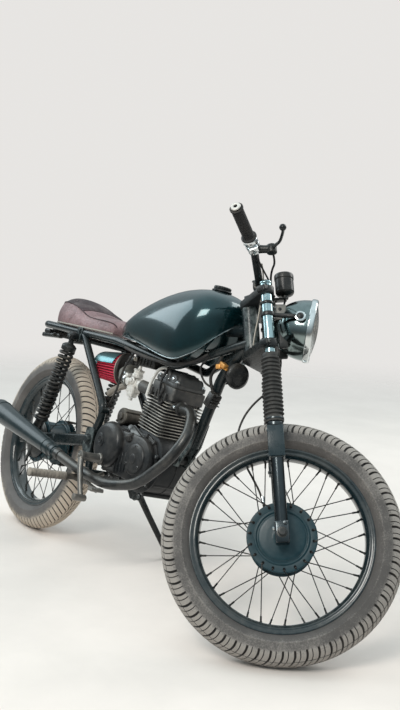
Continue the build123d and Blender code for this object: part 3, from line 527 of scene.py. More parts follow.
def hide(name, light, dark, grain=230.0):
    """Leather with pores and creases, and paler patches towards its upward faces."""
    finish = Finish(name)
    finish.shader.inputs["Specular IOR Level"].default_value = 0.4
    spot = finish.place()
    pores = finish.add("ShaderNodeTexVoronoi", {"feature": "F1"}, {"Vector": spot, "Scale": grain}, "Distance")
    creases = finish.noise(38.0, 5.0, 0.65, (1.0, 2.4, 1.0))
    broad = finish.noise(8.0, 3.0)
    tone = (broad * 0.7 + creases * 0.5).between(0.42, 0.78)
    base = finish.mix(tone, dark, list(light))
    base = finish.mix(pores.between(0.35, 0.75) * 0.35, base, [part * 0.5 for part in dark])
    base = finish.mix(
        (finish.upward() * 0.2 + finish.noise(16.0, 5.0, 0.7)).between(0.6, 0.9) * 0.16, base, (0.42, 0.37, 0.35)
    )
    finish.use("Base Color", base)
    finish.use("Roughness", creases * 0.22 + pores * 0.12 + 0.36)
    finish.bump(creases * 0.8 + pores * 0.35, 0.0009)
    return finish.material


def tank_paint(name, paint):
    """Deep green-black gloss under clear coat, with a film of dust and fine swirls."""
    finish = Finish(name, Coat_Weight=0.6, Coat_Roughness=0.05, Metallic=0.6)
    broad = finish.noise(5.0, 4.0, 0.6)
    swirl = finish.noise(30.0, 6.0, 0.75, (1.0, 1.0, 3.0))
    fine = finish.noise(600.0, 2.0)
    base = finish.mix(broad.between(0.35, 0.7), [part * 0.5 for part in paint], list(paint))
    film = (broad * 0.5 + swirl * 0.35 + finish.upward() * 0.3 + fine * 0.1).between(0.6, 1.05) * 0.08
    finish.use("Base Color", finish.mix(film, base, (0.3, 0.28, 0.25)))
    finish.use("Roughness", swirl * 0.12 + film * 0.9 + 0.12)
    finish.bump(swirl, 0.00012)
    return finish.material


def gauze(name, red):
    """Red filter gauze with fine crossed threads, painted shade in the folds' valleys, a painted highlight on their
    crests, and patches of dust.
    """
    finish = Finish(name, Roughness=0.75)
    mesh = finish.add(
        "ShaderNodeTexVoronoi", {"feature": "F1", "distance": "CHEBYCHEV"},
        {"Vector": finish.place(), "Scale": 900.0}, "Distance"
    )
    broad = finish.noise(30.0, 4.0)
    base = finish.mix(mesh.between(0.2, 0.8), list(red), [part * 0.4 for part in red])
    # painted shade: near-black in the folds' valleys
    base = finish.mix(finish.marked().between(0.6, 0.1), base, (0.05, 0.0, 0.004))
    # painted highlight: pale pink along the folds' crests
    base = finish.mix(finish.marked().between(0.9, 1.0) * 0.6, base, (0.8, 0.3, 0.34))
    finish.use("Base Color", finish.mix(broad.between(0.55, 0.8) * 0.3, base, (0.55, 0.3, 0.28)))
    finish.bump(mesh, 0.0005)
    return finish.material


def fins(name):
    """Cooling fins: dark metal with pale edges, which are rubbed metal and a painted highlight, and dust."""
    finish = Finish(name, Metallic=0.35)
    broad = finish.noise(12.0, 4.0, 0.6)
    fine = finish.noise(300.0, 3.0, 0.6)
    rim = finish.marked().between(0.55, 0.95)
    base = finish.mix(fine.between(0.3, 0.7), (0.035, 0.034, 0.032), (0.07, 0.067, 0.062))
    # the pale edge colour: rubbed metal and a painted highlight where the fins' edges catch the light
    pale = finish.mix(broad.between(0.35, 0.65), (0.2, 0.19, 0.17), (0.5, 0.47, 0.42))
    base = finish.mix(rim, base, pale)
    cover = (broad * 0.6 + finish.upward() * 0.2 + fine * 0.2).between(0.55, 0.9) * 0.4
    finish.use("Base Color", finish.mix(cover, base, (0.28, 0.25, 0.21)))
    finish.use("Roughness", fine * 0.14 + cover * 0.4 + 0.38)
    finish.bump(fine, 0.0003)
    return finish.material


def lamp_glass(name):
    """Clear glass with a thin uneven film of dust."""
    finish = Finish(name, Transmission_Weight=1.0, IOR=1.45)
    finish.use("Roughness", finish.noise(30.0, 4.0).between(0.5, 0.9) * 0.12 + 0.03)
    finish.use(
        "Base Color",
        finish.mix(finish.noise(14.0, 4.0).between(0.5, 0.9) * 0.25, (0.93, 0.95, 0.96), (0.72, 0.68, 0.6))
    )
    return finish.material


def face(name):
    """A black gauge face with faint cloudy dust."""
    finish = Finish(name, Roughness=0.4)
    fine = finish.noise(90.0, 3.0)
    finish.use("Base Color", finish.mix(fine.between(0.4, 0.8) * 0.4, (0.012, 0.012, 0.014), (0.05, 0.05, 0.05)))
    return finish.material


# Finishes whose colour is fixed: maker, colour and the rest of its values
fixed_finishes = {
    # pale metal of the tank's seam lip, with paler edges: a painted highlight along the lower seam
    "tank seam highlight": (worn, (0.16, 0.2, 0.21), dict(dust=0.1, rough=0.22, Metallic=0.85, bare=(0.7, 0.74, 0.75))),
    "frame paint": (
        worn, (0.005, 0.010, 0.012), dict(dust=0.05, rough=0.25, bare=(0.1, 0.12, 0.12), Coat_Weight=0.1)
    ),
    "black paint": (worn, (0.007, 0.009, 0.010), dict(dust=0.07, rough=0.28, bare=(0.14, 0.15, 0.15))),
    "spring paint": (worn, (0.006, 0.007, 0.008), dict(dust=0.14, rough=0.36)),
    "clamp paint": (worn, (0.02, 0.022, 0.024), dict(dust=0.1, rough=0.32, bare=(0.26, 0.27, 0.27), Metallic=0.3)),
    "rim paint": (worn, (0.006, 0.015, 0.019), dict(dust=0.1, rough=0.2, Coat_Weight=0.5, bare=(0.2, 0.26, 0.28))),
    "hub paint": (worn, (0.002, 0.026, 0.036), dict(dust=0.05, rough=0.34)),
    # near-black standing in for the shade inside holes
    "painted hole shade": (worn, (0.002, 0.003, 0.004), dict(dust=0.03, rough=0.7, grain=0, Specular_IOR_Level=0.1)),
    "exhaust paint": (
        worn, (0.004, 0.013, 0.016),
        dict(dust=0.09, rough=0.33, Coat_Weight=0.12, bare=(0.16, 0.2, 0.2), dirt=(0.24, 0.23, 0.21))
    ),
    "header paint": (worn, (0.04, 0.042, 0.043), dict(dust=0.16, rough=0.3, bare=(0.34, 0.34, 0.33), Metallic=0.65)),
    "block paint": (worn, (0.006, 0.02, 0.027), dict(dust=0.04, rough=0.26, bare=(0.4, 0.46, 0.48))),
    "edge metal": (
        worn, (0.2, 0.19, 0.175),
        dict(dust=0.5, rough=0.46, bare=(0.6, 0.57, 0.52), Metallic=0.45, dirt=(0.42, 0.37, 0.3))
    ),
    "head metal": (
        worn, (0.06, 0.06, 0.06),
        dict(dust=0.4, rough=0.46, bare=(0.5, 0.49, 0.46), Metallic=0.4, dirt=(0.3, 0.27, 0.23))
    ),
    "rocker metal": (
        worn, (0.07, 0.073, 0.075),
        dict(dust=0.32, rough=0.44, bare=(0.42, 0.42, 0.41), Metallic=0.35, dirt=(0.26, 0.24, 0.21))
    ),
    "pale alloy": (worn, (0.66, 0.645, 0.61), dict(dust=0.3, rough=0.4, Metallic=0.35, dirt=(0.26, 0.2, 0.15))),
    "dull alloy": (worn, (0.36, 0.33, 0.29), dict(dust=0.4, rough=0.46, Metallic=0.5, dirt=(0.3, 0.25, 0.19))),
    "grey steel": (worn, (0.15, 0.147, 0.14), dict(dust=0.4, rough=0.38, Metallic=0.75, bare=(0.5, 0.48, 0.45))),
    "dark steel": (worn, (0.03, 0.033, 0.035), dict(dust=0.18, rough=0.3, Metallic=0.8)),
    "spoke steel": (worn, (0.012, 0.013, 0.014), dict(dust=0.14, rough=0.36, Metallic=0.6, grain=0)),
    "bright steel": (polished, (0.74, 0.77, 0.78), dict(rough=0.14, dust=0.16)),
    "fork chrome": (polished, (0.36, 0.48, 0.5), dict(rough=0.12, dust=0.16)),
    # the dark chrome's rubbed colour is a painted highlight along the sliders' edges
    "dark chrome": (polished, (0.055, 0.066, 0.072), dict(rough=0.17, dust=0.12, rubbed=(0.5, 0.54, 0.55))),
    "lamp chrome": (polished, (0.2, 0.25, 0.25), dict(rough=0.1, dust=0.12)),
    "ring chrome": (polished, (0.7, 0.74, 0.74), dict(rough=0.1, dust=0.14)),
    "reflector": (polished, (0.72, 0.68, 0.62), dict(rough=0.22, dust=0.16)),
    "black rubber": (worn, (0.009, 0.009, 0.010), dict(dust=0.14, rough=0.55, grain=0.0004)),
    "gaiter rubber": (
        worn, (0.014, 0.015, 0.015), dict(dust=0.3, rough=0.52, grain=0.0003, dirt=(0.2, 0.185, 0.165))
    ),
    "grey rubber": (worn, (0.12, 0.125, 0.115), dict(dust=0.25, rough=0.5)),
    "peg rubber": (worn, (0.1, 0.09, 0.08), dict(dust=0.85, rough=0.7, dirt=(0.42, 0.37, 0.31))),
    "black plastic": (worn, (0.008, 0.009, 0.010), dict(dust=0.1, rough=0.24)),
    # teal colour: a painted sky reflection on the filter's top sheet
    "teal metal": (worn, (0.12, 0.27, 0.3), dict(dust=0.16, rough=0.24, Metallic=0.65)),
    "brass": (worn, (0.56, 0.26, 0.06), dict(dust=0.2, rough=0.36, Metallic=0.6)),
    "red lens": (worn, (0.05, 0.002, 0.003), dict(dust=0.2, rough=0.15, grain=0, Coat_Weight=0.5)),
    "chain steel": (worn, (0.06, 0.055, 0.05), dict(dust=0.4, rough=0.42, Metallic=0.7, dirt=(0.16, 0.12, 0.08))),
    "cast iron": (worn, (0.05, 0.047, 0.043), dict(dust=0.3, rough=0.5, Metallic=0.5)),
}
# Finishes that read the add-on's settings, or that have a maker of their own
makers = {
    "tank": lambda name, scene: tank_paint(name, scene.motorcycle_body.paint),
    "case metal": lambda name, scene: worn(
        name, [part * 0.17 for part in scene.motorcycle_engine.cases], dust=0.07, rough=0.4, bare=(0.32, 0.32, 0.31),
        Metallic=0.35, dirt=(0.16, 0.14, 0.11)
    ),
    "cover metal": lambda name, scene: worn(
        name, [part * 0.2 for part in scene.motorcycle_engine.cases], dust=0.2, rough=0.3, bare=(0.42, 0.44, 0.45),
        Metallic=0.4, dirt=(0.24, 0.21, 0.18)
    ),
    "fin metal": lambda name, scene: fins(name),
    "front tyre": lambda name, scene: tyre_rubber(name, scene.motorcycle_wheels.tread, scene.motorcycle_wheels.wall),
    "rear tyre": lambda name, scene: tyre_rubber(name, [
        min(1.0, part * shift) for part, shift in zip(scene.motorcycle_wheels.tread, (1.62, 1.5, 1.34))
    ], [part * 1.25 for part in scene.motorcycle_wheels.wall]),
    "leather": lambda name, scene: hide(
        name, scene.motorcycle_body.seat_side, [part * 0.56 for part in scene.motorcycle_body.seat_side]
    ),
    "dark leather": lambda name, scene: hide(
        name, scene.motorcycle_body.seat_top, [part * 0.5 for part in scene.motorcycle_body.seat_top]
    ),
    "gauze": lambda name, scene: gauze(name, scene.motorcycle_engine.filter),
    "lamp glass": lambda name, scene: lamp_glass(name),
    "gauge face": lambda name, scene: face(name),
}
made_materials = {}


def material(name):
    """The finished material of that name, made once."""
    if name in fixed_finishes and name not in made_materials:
        make, colour, values = fixed_finishes[name]
        made_materials[name] = make(name, colour, **values)
    elif name not in made_materials:
        made_materials[name] = makers[name](name, bpy.context.scene)
    return made_materials[name]




# Wheels
def round_wheel(centre, angle, side, radius):
    """A point at an angle round a wheel's axle."""
    return Vector((centre.x + radius * cos(angle), side, centre.z + radius * sin(angle)))


tread_round = 48.0
spoke_count = 18
# The middle of the chain and the outer face of the sprockets' teeth, left of the middle
chain_side = 65
tooth_face = 68.2


def add_tyre(form, centre, radius, cuts, columns, stations, bend):
    """A tyre whose cuts bend away from its middle line.

    columns are places within one cut's pitch and their depth, from 0 to 1 of the pitch.
    stations are the angle from the middle of the tread, the share of the cuts' depth there,
    the depth of a groove round the tyre, how far the wall is drawn in, and its dust.
    """
    middle = radius - tread_round
    rows = []
    dust = []
    pitch = 360 / cuts
    full = [(-angle, *rest) for angle, *rest in reversed(stations[1:])] + stations
    for lean, share, groove, drawn, pale in full:
        row = []
        shades = []
        shift = bend * sin(min(abs(lean), 66) * 1.36) + (0.5 if lean < -11 else 0)
        for cut in range(cuts):
            for place, depth in columns:
                deep = max(depth * share, groove)
                out = tread_round - drawn - deep
                angle = (cut + place + shift) * pitch
                row.append(round_wheel(centre, angle, out * sin(lean), middle + out * cos(lean)))
                # the cuts carry 0.08, which the tyre's finish paints near-black as painted shade; elsewhere the
                # station's dust
                shades.append(0.08 if deep > 1.2 else pale)
        rows.append(row)
        dust.append(shades)
    bead = [(28.2, radius - 79), (26.6, radius - 84)]
    for side, rim in bead:
        rows.append([round_wheel(centre, 360 * k / len(rows[0]), side, rim) for k in range(len(rows[0]))])
        rows.insert(0, [round_wheel(centre, 360 * k / len(rows[0]), -side, rim) for k in range(len(rows[0]))])
        dust.append([0.3] * len(rows[0]))
        dust.insert(0, [0.3] * len(rows[0]))
    form.grid(rows, True, dust=dust)


def add_rim(form, centre, radius):
    """The rim's turned section."""
    lip = radius - 77
    half = [
        (31, lip + 0.4), (31.2, lip - 4), (29.6, lip - 7.5), (28.6, lip - 11), (29.2, lip - 14.5), (28, lip - 17),
        (22, lip - 21.5), (17.5, lip - 24), (9, lip - 25)
    ]
    outline = half + [(0, lip - 25)] + [(-y, r) for y, r in reversed(half)]
    inner = [
        (-29.5, lip + 1), (-27, lip), (-26.6, lip - 5), (-25, lip - 13.5), (25, lip - 13.5), (26.6, lip - 5),
        (27, lip), (29.5, lip + 1)
    ]
    form.turn(centre, (0, 1, 0), [(r, y) for y, r in soften(outline + inner, 1.2, True, 2)], 144, True)


def add_spokes(form, centre, radius, sides):
    """Crossed spokes with an elbow and a head in the flange, and a nipple in the rim."""
    rim = radius - 101.5
    for side, face, flange, leaning in sides:
        for index in range(spoke_count):
            hub_angle = index * 360 / spoke_count + (0 if side > 0 else 180 / spoke_count)
            outward = index % 2
            rim_angle = hub_angle + (22.0 if outward else -22.0)
            near = face + side * (1.8 if outward else -7.6)
            head = round_wheel(centre, hub_angle, face - side * 3, flange - 6)
            start = round_wheel(centre, hub_angle, near, flange - 5.5)
            end = round_wheel(centre, rim_angle, leaning, rim)
            along = (end - start).normalized()
            form.tube([head, start + (head - start) * 0.35, start + along * 3, end - along * 6], 1.45, 6)
            form.turn(
                end - along * 17, along, [(0, 0), (2.3, 0.5), (2.6, 2), (2.6, 13), (3.6, 15), (3.6, 18.5), (0, 19)], 8
            )
            top = round_wheel(centre, hub_angle, face + side * (0.1 if not outward else 0.3), flange - 6)
            form.turn(top, (0, side, 0), [(3.3, -0.5), (3.1, 0.9), (2.0, 1.7), (0, 2.0)], 10)


def add_hub(form, centre, profile, steps=96):
    """A hub turned about the axle."""
    form.turn(centre, (0, 1, 0), soften([(r, y) for y, r in profile], 1.0, True, 2), steps, True)


def add_sprocket(form, centre, count, tooth_line):
    """A toothed wheel in the chain's plane, from places within one tooth's pitch and their radius."""
    teeth = []
    for tooth in range(count):
        for place, out in tooth_line:
            angle = (tooth + place) * 360 / count
            teeth.append(Vector((out * cos(angle), out * sin(angle))))
    form.slab(teeth, centre + Vector((0, tooth_face, 0)), (1, 0, 0), (0, 0, 1), 6.4, 0.6)


def make_wheels(sizes):
    """Both tyres, rims, hubs and their spokes."""
    front = Form(fork)
    deep = sizes.knob_depth
    columns = [
        (0, 0), (0.03, deep), (0.17, deep), (0.205, 0), (0.36, 0), (0.5, 0), (0.515, deep * 0.5), (0.57, deep * 0.5),
        (0.585, 0), (0.8, 0)
    ]
    stations = [
        (0, 0.35, 0, 0, 0.95), (4, 0.35, 0, 0, 0.95), (7, 0.5, 0, 0, 0.95), (8.2, 1, 4.2, 0, 0.9),
        (11.6, 1, 4.2, 0, 0.9), (12.8, 1, 0, 0, 0.95),
        (20, 1, 0, 0, 0.95), (27, 1, 0, 0, 0.95), (34, 1, 0, 0, 0.92), (35, 0.8, 2.2, 0, 0.9),
        (36.5, 0.8, 2.2, 0, 0.9), (37.5, 1, 0, 0, 0.9), (46, 1, 0, 0, 0.88), (54, 1, 0, 0, 0.84),
        (61, 1, 0, 0, 0.8), (67, 0.9, 0, 0.2, 0.76), (72, 0.5, 0, 0.7, 0.7), (75, 0, 0, 1.6, 0.62),
        (80, 0, 0, 1.8, 0.56), (90, 0, 0, 1.9, 0.54), (98, 0, 0, 2.2, 0.55),
        (100, 0, 0, 1.4, 0.6), (103, 0, 0, 1.5, 0.6), (105, 0, 0, 2.6, 0.54), (113, 0, 0, 3.6, 0.5),
        (121, 0, 0, 5.0, 0.46), (128, 0, 0, 6.3, 0.44), (134, 0, 0, 7.2, 0.44),
    ]
    add_tyre(front, front_axle, front_radius, 60, columns, stations, 0.85)
    front.make("front_tyre_tread", "front_wheel", "front tyre", "front_tyre", "tyre_rubber", 50)
    rear = Form(chassis)
    columns = [(0, 0), (0.05, 4.5), (0.2, 4.5), (0.25, 0), (0.62, 0)]
    stations = [
        (0, 0, 0, 0, 0.98), (3, 0, 0, 0, 0.98), (3.6, 0, 3.4, 0, 0.9), (5.6, 0, 3.4, 0, 0.9), (6.2, 0.4, 0, 0, 0.98),
        (12, 1, 0, 0, 0.98), (20, 1, 0, 0, 0.98), (28, 1, 0, 0, 0.98),
        (36, 1, 0, 0, 0.96), (44, 1, 0, 0, 0.94), (52, 1, 0, 0, 0.9), (58, 0.9, 0, 0, 0.82), (64, 0.6, 0, 0.1, 0.74),
        (68, 0.2, 0, 0.5, 0.68), (72, 0, 0, 1.1, 0.6),
        (80, 0, 0, 1.3, 0.52), (90, 0, 0, 1.5, 0.48), (99, 0, 0, 1.8, 0.46), (101, 0, 0, 1.0, 0.5),
        (104, 0, 0, 1.1, 0.5), (106, 0, 0, 2.4, 0.42), (114, 0, 0, 3.8, 0.4),
        (122, 0, 0, 5.2, 0.36), (129, 0, 0, 6.4, 0.36), (134, 0, 0, 7.2, 0.36),
    ]
    add_tyre(rear, rear_axle, rear_radius, 84, columns, stations, 1.15)
    rear.make("rear_tyre_tread", "rear_wheel", "rear tyre", "rear_tyre", "tyre_rubber", 50)
    for name, where, centre, radius, body in (
        ("front", fork, front_axle, front_radius, "front_wheel"),
        ("rear", chassis, rear_axle, rear_radius, "rear_wheel")
    ):
        form = Form(where)
        add_rim(form, centre, radius)
        valve = round_wheel(centre, 95, 0, radius - 102)
        form.turn(valve, round_wheel(centre, 95, 0, 0) - valve, [
            (3.4, -2), (3.4, 4), (2.4, 5), (2.4, 22), (3.0, 22.5), (3.0, 28), (0, 28.5)
        ], 10)
        form.make(f"{name}_rim_dressed", body, "rim paint", f"{name}_rim", "rim_black")
    form = Form(fork)
    add_hub(form, front_axle, [
        (-57, 8), (-57, 17), (-53, 20), (-51.5, 25), (-51, 40), (-49.6, 55), (-48.6, 60), (-46.6, 62), (-46.2, 65),
        (-48.4, 66.5), (-49, 69),
        (-48.4, 71.5), (-46, 73), (-46.4, 76), (-47.4, 90), (-46, 92), (-43.5, 92), (-42, 89), (-41, 79), (-38, 77),
        (33, 77), (34, 84), (35, 88), (39, 88), (40, 84), (40, 8),
    ])
    # flat black discs between the spokes: painted shade for holes in the flange
    form.mark = 1
    for index in range(spoke_count):
        at = round_wheel(front_axle, (index + 0.5) * 360 / spoke_count, -47.5, 82)
        form.turn(at, (0, -1, 0), [(3.7, -0.6), (3.7, 0.5), (0, 0.7)], 16)
    form.mark = 0
    form.make("front_hub_dressed", "front_wheel", ["hub paint", "painted hole shade"], "front_hub", "hub_black")
    form = Form(chassis)
    add_hub(form, rear_axle, [
        (-48, 8), (-48, 78), (-46.5, 82), (-43, 82), (-42, 79), (-41, 71), (-38, 68), (31, 68), (34, 72), (34.5, 79),
        (36, 82), (39, 82), (40, 78), (40, 55), (56, 50),
        (58, 44), (61, 44), (61, 60), (70, 28), (70, 8),
    ])
    add_sprocket(form, rear_axle, 41, [(0.0, 70.5), (0.28, 71.5), (0.42, 77), (0.58, 77), (0.72, 71.5)])
    for index in range(6):
        form.bolt(round_wheel(rear_axle, index * 60, 66.5, 54), (0, 1, 0), 5)
    form.make("rear_hub_dressed", "rear_wheel", "hub paint", "rear_hub", "hub_black")
    form = Form(fork)
    add_spokes(form, front_axle, front_radius, [(-1, -47.2, 92, -6), (1, 39.6, 88, 6)])
    form.make("front_spokes_dressed", "front_wheel", "spoke steel", "front_spokes", "spoke_steel")
    form = Form(chassis)
    add_spokes(form, rear_axle, rear_radius, [(-1, -47.6, 82, -6), (1, 39.6, 82, 6)])
    form.make("rear_spokes_dressed", "rear_wheel", "spoke steel", "rear_spokes", "spoke_steel")


# Tank and seat
tank_sections = [
    # place, half width, bottom, top, height of the widest line, as shares of the height
    (374, 34, 742, 757, 0.5),
    (392, 58, 741, 771, 0.5),
    (440, 86, 740, 806, 0.48),
    (500, 103, 736, 848, 0.42),
    (560, 114, 732, 880, 0.38),
    (625, 123, 723, 907, 0.36),
    (690, 130, 713, 926, 0.34),
    (750, 133.5, 706, 935, 0.34),
    (800, 132, 707, 936, 0.37),
    (836, 122, 724, 930, 0.42),
    (866, 100, 752, 918, 0.48),
    (888, 72, 790, 901, 0.52),
    (899, 42, 818, 880, 0.55),
    (901.5, 16, 835, 862, 0.5),
]


def make_tank():
    """The fuel tank with its seam, tunnel and cap."""
    form = Form(chassis)
    rows = []
    table = flowing([Vector((x, half, low)) for x, half, low, top, wide in tank_sections], 4)
    tops = flowing([Vector((x, top, wide * 100)) for x, half, low, top, wide in tank_sections], 4)
    seams = {-1: [], 1: []}
    for (x, half, low), (_, top, wide) in zip(table, tops):
        widest = low + (top - low) * wide / 100
        row = []
        for step in range(33):
            t = 180 * step / 32
            y = half * (1 if cos(t) > 0 else -1) * abs(cos(t)) ** 0.82
            z = widest + (top - widest) * sin(t) ** 0.86
            row.append(Vector((x, y, z)))
        below = []
        for step in range(1, 9):
            t = step / 8
            below.append(Vector((x, -half * (1 - 0.13 * t**1.8), widest - (widest - low) * (1 - (1 - t) ** 1.5))))
        seam = half * 0.87
        hollow = min(62, seam * 0.8)
        roof = min(low + 46, low + (top - low) * 0.4)
        under = [
            Vector((x, -seam * 0.97, low + 0.4)), Vector((x, -hollow, low + 5)), Vector((x, -hollow * 0.8, roof)),
            Vector((x, hollow * 0.8, roof)), Vector((x, hollow, low + 5)), Vector((x, seam * 0.97, low + 0.4))
        ]
        rows.append(row + below + under + [Vector((p.x, -p.y, p.z)) for p in reversed(below)])
        for side in (-1, 1):
            seams[side].append(Vector((x, side * seam, low + 0.6)))
    start = form.grid(rows, True)
    form.cap(start, len(rows[0]))
    form.cap(start + (len(rows) - 1) * len(rows[0]), len(rows[0]))
    # the pressed seam round the lower edge
    loop = seams[-1][2:] + seams[1][:1:-1]
    lip = []
    for index, point in enumerate(loop):
        before, after = loop[index - 1], loop[(index + 1) % len(loop)]
        way = (after - before).normalized()
        out = Vector((0, 0, 1)).cross(way)
        out = Vector((out.x, out.y, 0)).normalized() * (-1)
        if out.y * point.y < 0 and abs(point.y) > 25:
            out = -out
        lip.append([
            point - out * 2 + Vector((0, 0, 1.6)), point + out * 4.6 + Vector((0, 0, 1.3)), point + out * 5.4,
            point + out * 4.6 - Vector((0, 0, 1.3)), point - out * 2 - Vector((0, 0, 1.3))
        ])
    # the seam lip takes the pale finish, a painted highlight along the seam
    form.mark = 1
    form.grid(lip, True, True)
    form.make("tank_shell", "chassis", ["tank", "tank seam highlight"], "fuel_tank", "tank_green", 42)
    cap = Form(chassis)
    base = Vector((790, 0, 934))
    cap.turn(base, (0, 0, 1), soften([(0, 1), (30, 1), (31, 5), (29, 7), (0, 7)], 1.2), 64)
    grips_profile = soften([(0, 6.5), (25.5, 6.5), (26, 15), (24, 18), (9, 19), (8, 17.8), (0, 17.8)], 1.2)
    cap.turn(base, (0, 0, 1), grips_profile, 96, pleats=24, depth=0.9)
    cap.block(base + Vector((0, 0, 18.4)), (15, 5, 2.4), 1.0)
    cap.make("filler_cap_dressed", "chassis", "black paint", "filler_cap", "black_plastic")


seat_line = [
    # place, half width, height of the top at the middle, crown
    (-87, 24, 770, 8),
    (-84, 36, 786, 14),
    (-72, 50, 806, 19),
    (-52, 64, 825, 23),
    (-28, 78, 838, 25),
    (-6, 88, 843, 25),
    (34, 98, 841, 23),
    (85, 104, 832, 19),
    (120, 105, 821, 15),
    (153, 105, 808, 12),
    (185, 104, 796, 10),
    (213, 103, 790, 10),
    (260, 100, 788, 10),
    (310, 96, 787.5, 10),
    (345, 89, 784, 9),
    (360, 84, 777, 7),
    (366, 78, 768, 5),
]
seat_low = 739.0
panel_end = 160.0
seam_width = 5.0
voxel = 5.0
most_swell = 7.0
cloth_frames = 20


def seat_rows():
    """Rows across the seat over its top, from left to right, and the line of its upper edge."""
    line = flowing([Vector((x, half, crest)) for x, half, crest, crown in seat_line], 4)
    crowns = flowing([Vector((x, crown, 0)) for x, half, crest, crown in seat_line], 4)
    rows = []
    edge_line = []
    for (x, half, crest), (_, crown, _) in zip(line, crowns):
        edge = crest - crown
        inner = half * 0.82
        side = []
        for step in range(8):
            t = step / 7
            swell = 2.4 * math.sin(math.pi * t) * min(1, (edge - seat_low) / 50)
            y = half * 0.95 + (inner - half * 0.95) * t**2.2 + swell
            side.append((y, seat_low + (edge - seat_low) * t))
        top = []
        for step in range(1, 16):
            t = -1 + step / 8
            top.append(Vector((x, inner * t, edge + (crest - edge) * (1 - abs(t) ** 2.4))))
        left = [Vector((x, -y, z)) for y, z in side]
        right = [Vector((x, y, z)) for y, z in reversed(side)]
        rows.append(left + top + right)
        edge_line.append(Vector((x, inner, edge)))
    return rows, edge_line


def fill(piece, held, pressure, most):
    """Swells a closed cover with Blender's cloth; held points stay and no point moves further than most."""
    scene = bpy.context.scene
    before = [vertex.co.copy() for vertex in piece.data.vertices]
    pins = piece.vertex_groups.new(name="held")
    for index, share in held.items():
        pins.add([index], share, "REPLACE")
    cloth = piece.modifiers.new("filling", "CLOTH")
    cloth.settings.vertex_group_mass = pins.name
    cloth.settings.quality = 5
    cloth.settings.mass = 0.25
    cloth.settings.tension_stiffness = 12
    cloth.settings.compression_stiffness = 8
    cloth.settings.bending_stiffness = 0.4
    cloth.settings.shrink_min = -0.015
    cloth.settings.use_pressure = True
    cloth.settings.uniform_pressure_force = pressure
    cloth.settings.effector_weights.gravity = 0
    cloth.point_cache.frame_start = 1
    cloth.point_cache.frame_end = cloth_frames
    for number in range(1, cloth_frames + 1):
        scene.frame_set(number)
    bpy.context.view_layer.objects.active = piece
    bpy.ops.object.modifier_apply(modifier=cloth.name)
    scene.frame_set(1)
    for vertex, start in zip(piece.data.vertices, before):
        moved = vertex.co - start
        if moved.length > most:
            vertex.co = start + moved * (most / moved.length)


def make_seat(sizes):
    """The seat's padded cover with its piping, and its base strip, whose pale colour is a painted highlight."""
    rows, edge_line = seat_rows()
    cover = Form(chassis)
    start = cover.grid(rows, True)
    cover.cap(start, len(rows[0]))
    cover.cap(start + (len(rows) - 1) * len(rows[0]), len(rows[0]))
    seat = cover.make("seat_cover", "chassis", ["leather", "dark leather"], "seat", "brown_leather", 180)
    bpy.context.view_layer.objects.active = seat
    remesh = seat.modifiers.new("even faces", "REMESH")
    remesh.mode = "VOXEL"
    remesh.voxel_size = voxel * 0.001
    bpy.ops.object.modifier_apply(modifier=remesh.name)
    back = chassis.inverted()
    across = [row[7:24] for row in rows if row[0].x < panel_end][-1]
    seams = []
    for side in (-1, 1):
        seams += [Vector((p.x, p.y * side, p.z)) for p in edge_line]
    fine = flowing(seams[:len(edge_line)], 3) + flowing(seams[len(edge_line):], 3) + flowing(across, 3)
    tree = KDTree(len(fine))
    for index, point in enumerate(fine):
        tree.insert(point, index)
    tree.balance()
    held = {}
    for vertex in seat.data.vertices:
        spot = back @ vertex.co
        gap = tree.find(spot)[2]
        if spot.z < seat_low + 5 or gap < seam_width:
            held[vertex.index] = 1.0
    fill(seat, held, sizes.seat_pressure, most_swell * 0.001)
    for polygon in seat.data.polygons:
        spot = back @ polygon.center
        lift = [p for p in edge_line if abs(p.x - spot.x) < 6]
        rim = lift[0] if lift else edge_line[0]
        on_top_panel = spot.x < across[0].x and abs(spot.y) < rim.y and spot.z > rim.z - 1
        polygon.material_index = 1 if on_top_panel else 0
    seat.data.shade_smooth()
    change = seat.modifiers.new("subdivision", "SUBSURF")
    change.levels = change.render_levels = 1
    trim = Form(chassis)
    for side in (-1, 1):
        trim.tube([Vector((p.x, p.y * side + side * 0.5, p.z + 0.6)) for p in edge_line[3:-1]], 1.9, 8)
    trim.tube([p + Vector((0, 0, 0.5)) for p in across], 1.5, 8)
    trim.make("seat_piping", "chassis", "dark leather", slot="brown_leather")
    # a pale strip along the seat's base: the seat pan's edge, its pale colour a painted highlight
    base = Form(chassis)
    for side in (-1, 1):
        strip = []
        for row in rows[2:]:
            p = row[-1]
            y = p.y * side
            strip.append([
                Vector((p.x, y, seat_low + 5)), Vector((p.x, y + side * 1.6, seat_low + 4)),
                Vector((p.x, y + side * 1.6, seat_low + 0.6)), Vector((p.x, y, seat_low + 0.2))
            ])
        base.grid(strip)
    base.make("seat_base_highlight_trim", "chassis", "dull alloy", slot="brown_leather")


# Fork, bars and lamp
leg_spread = 92.0


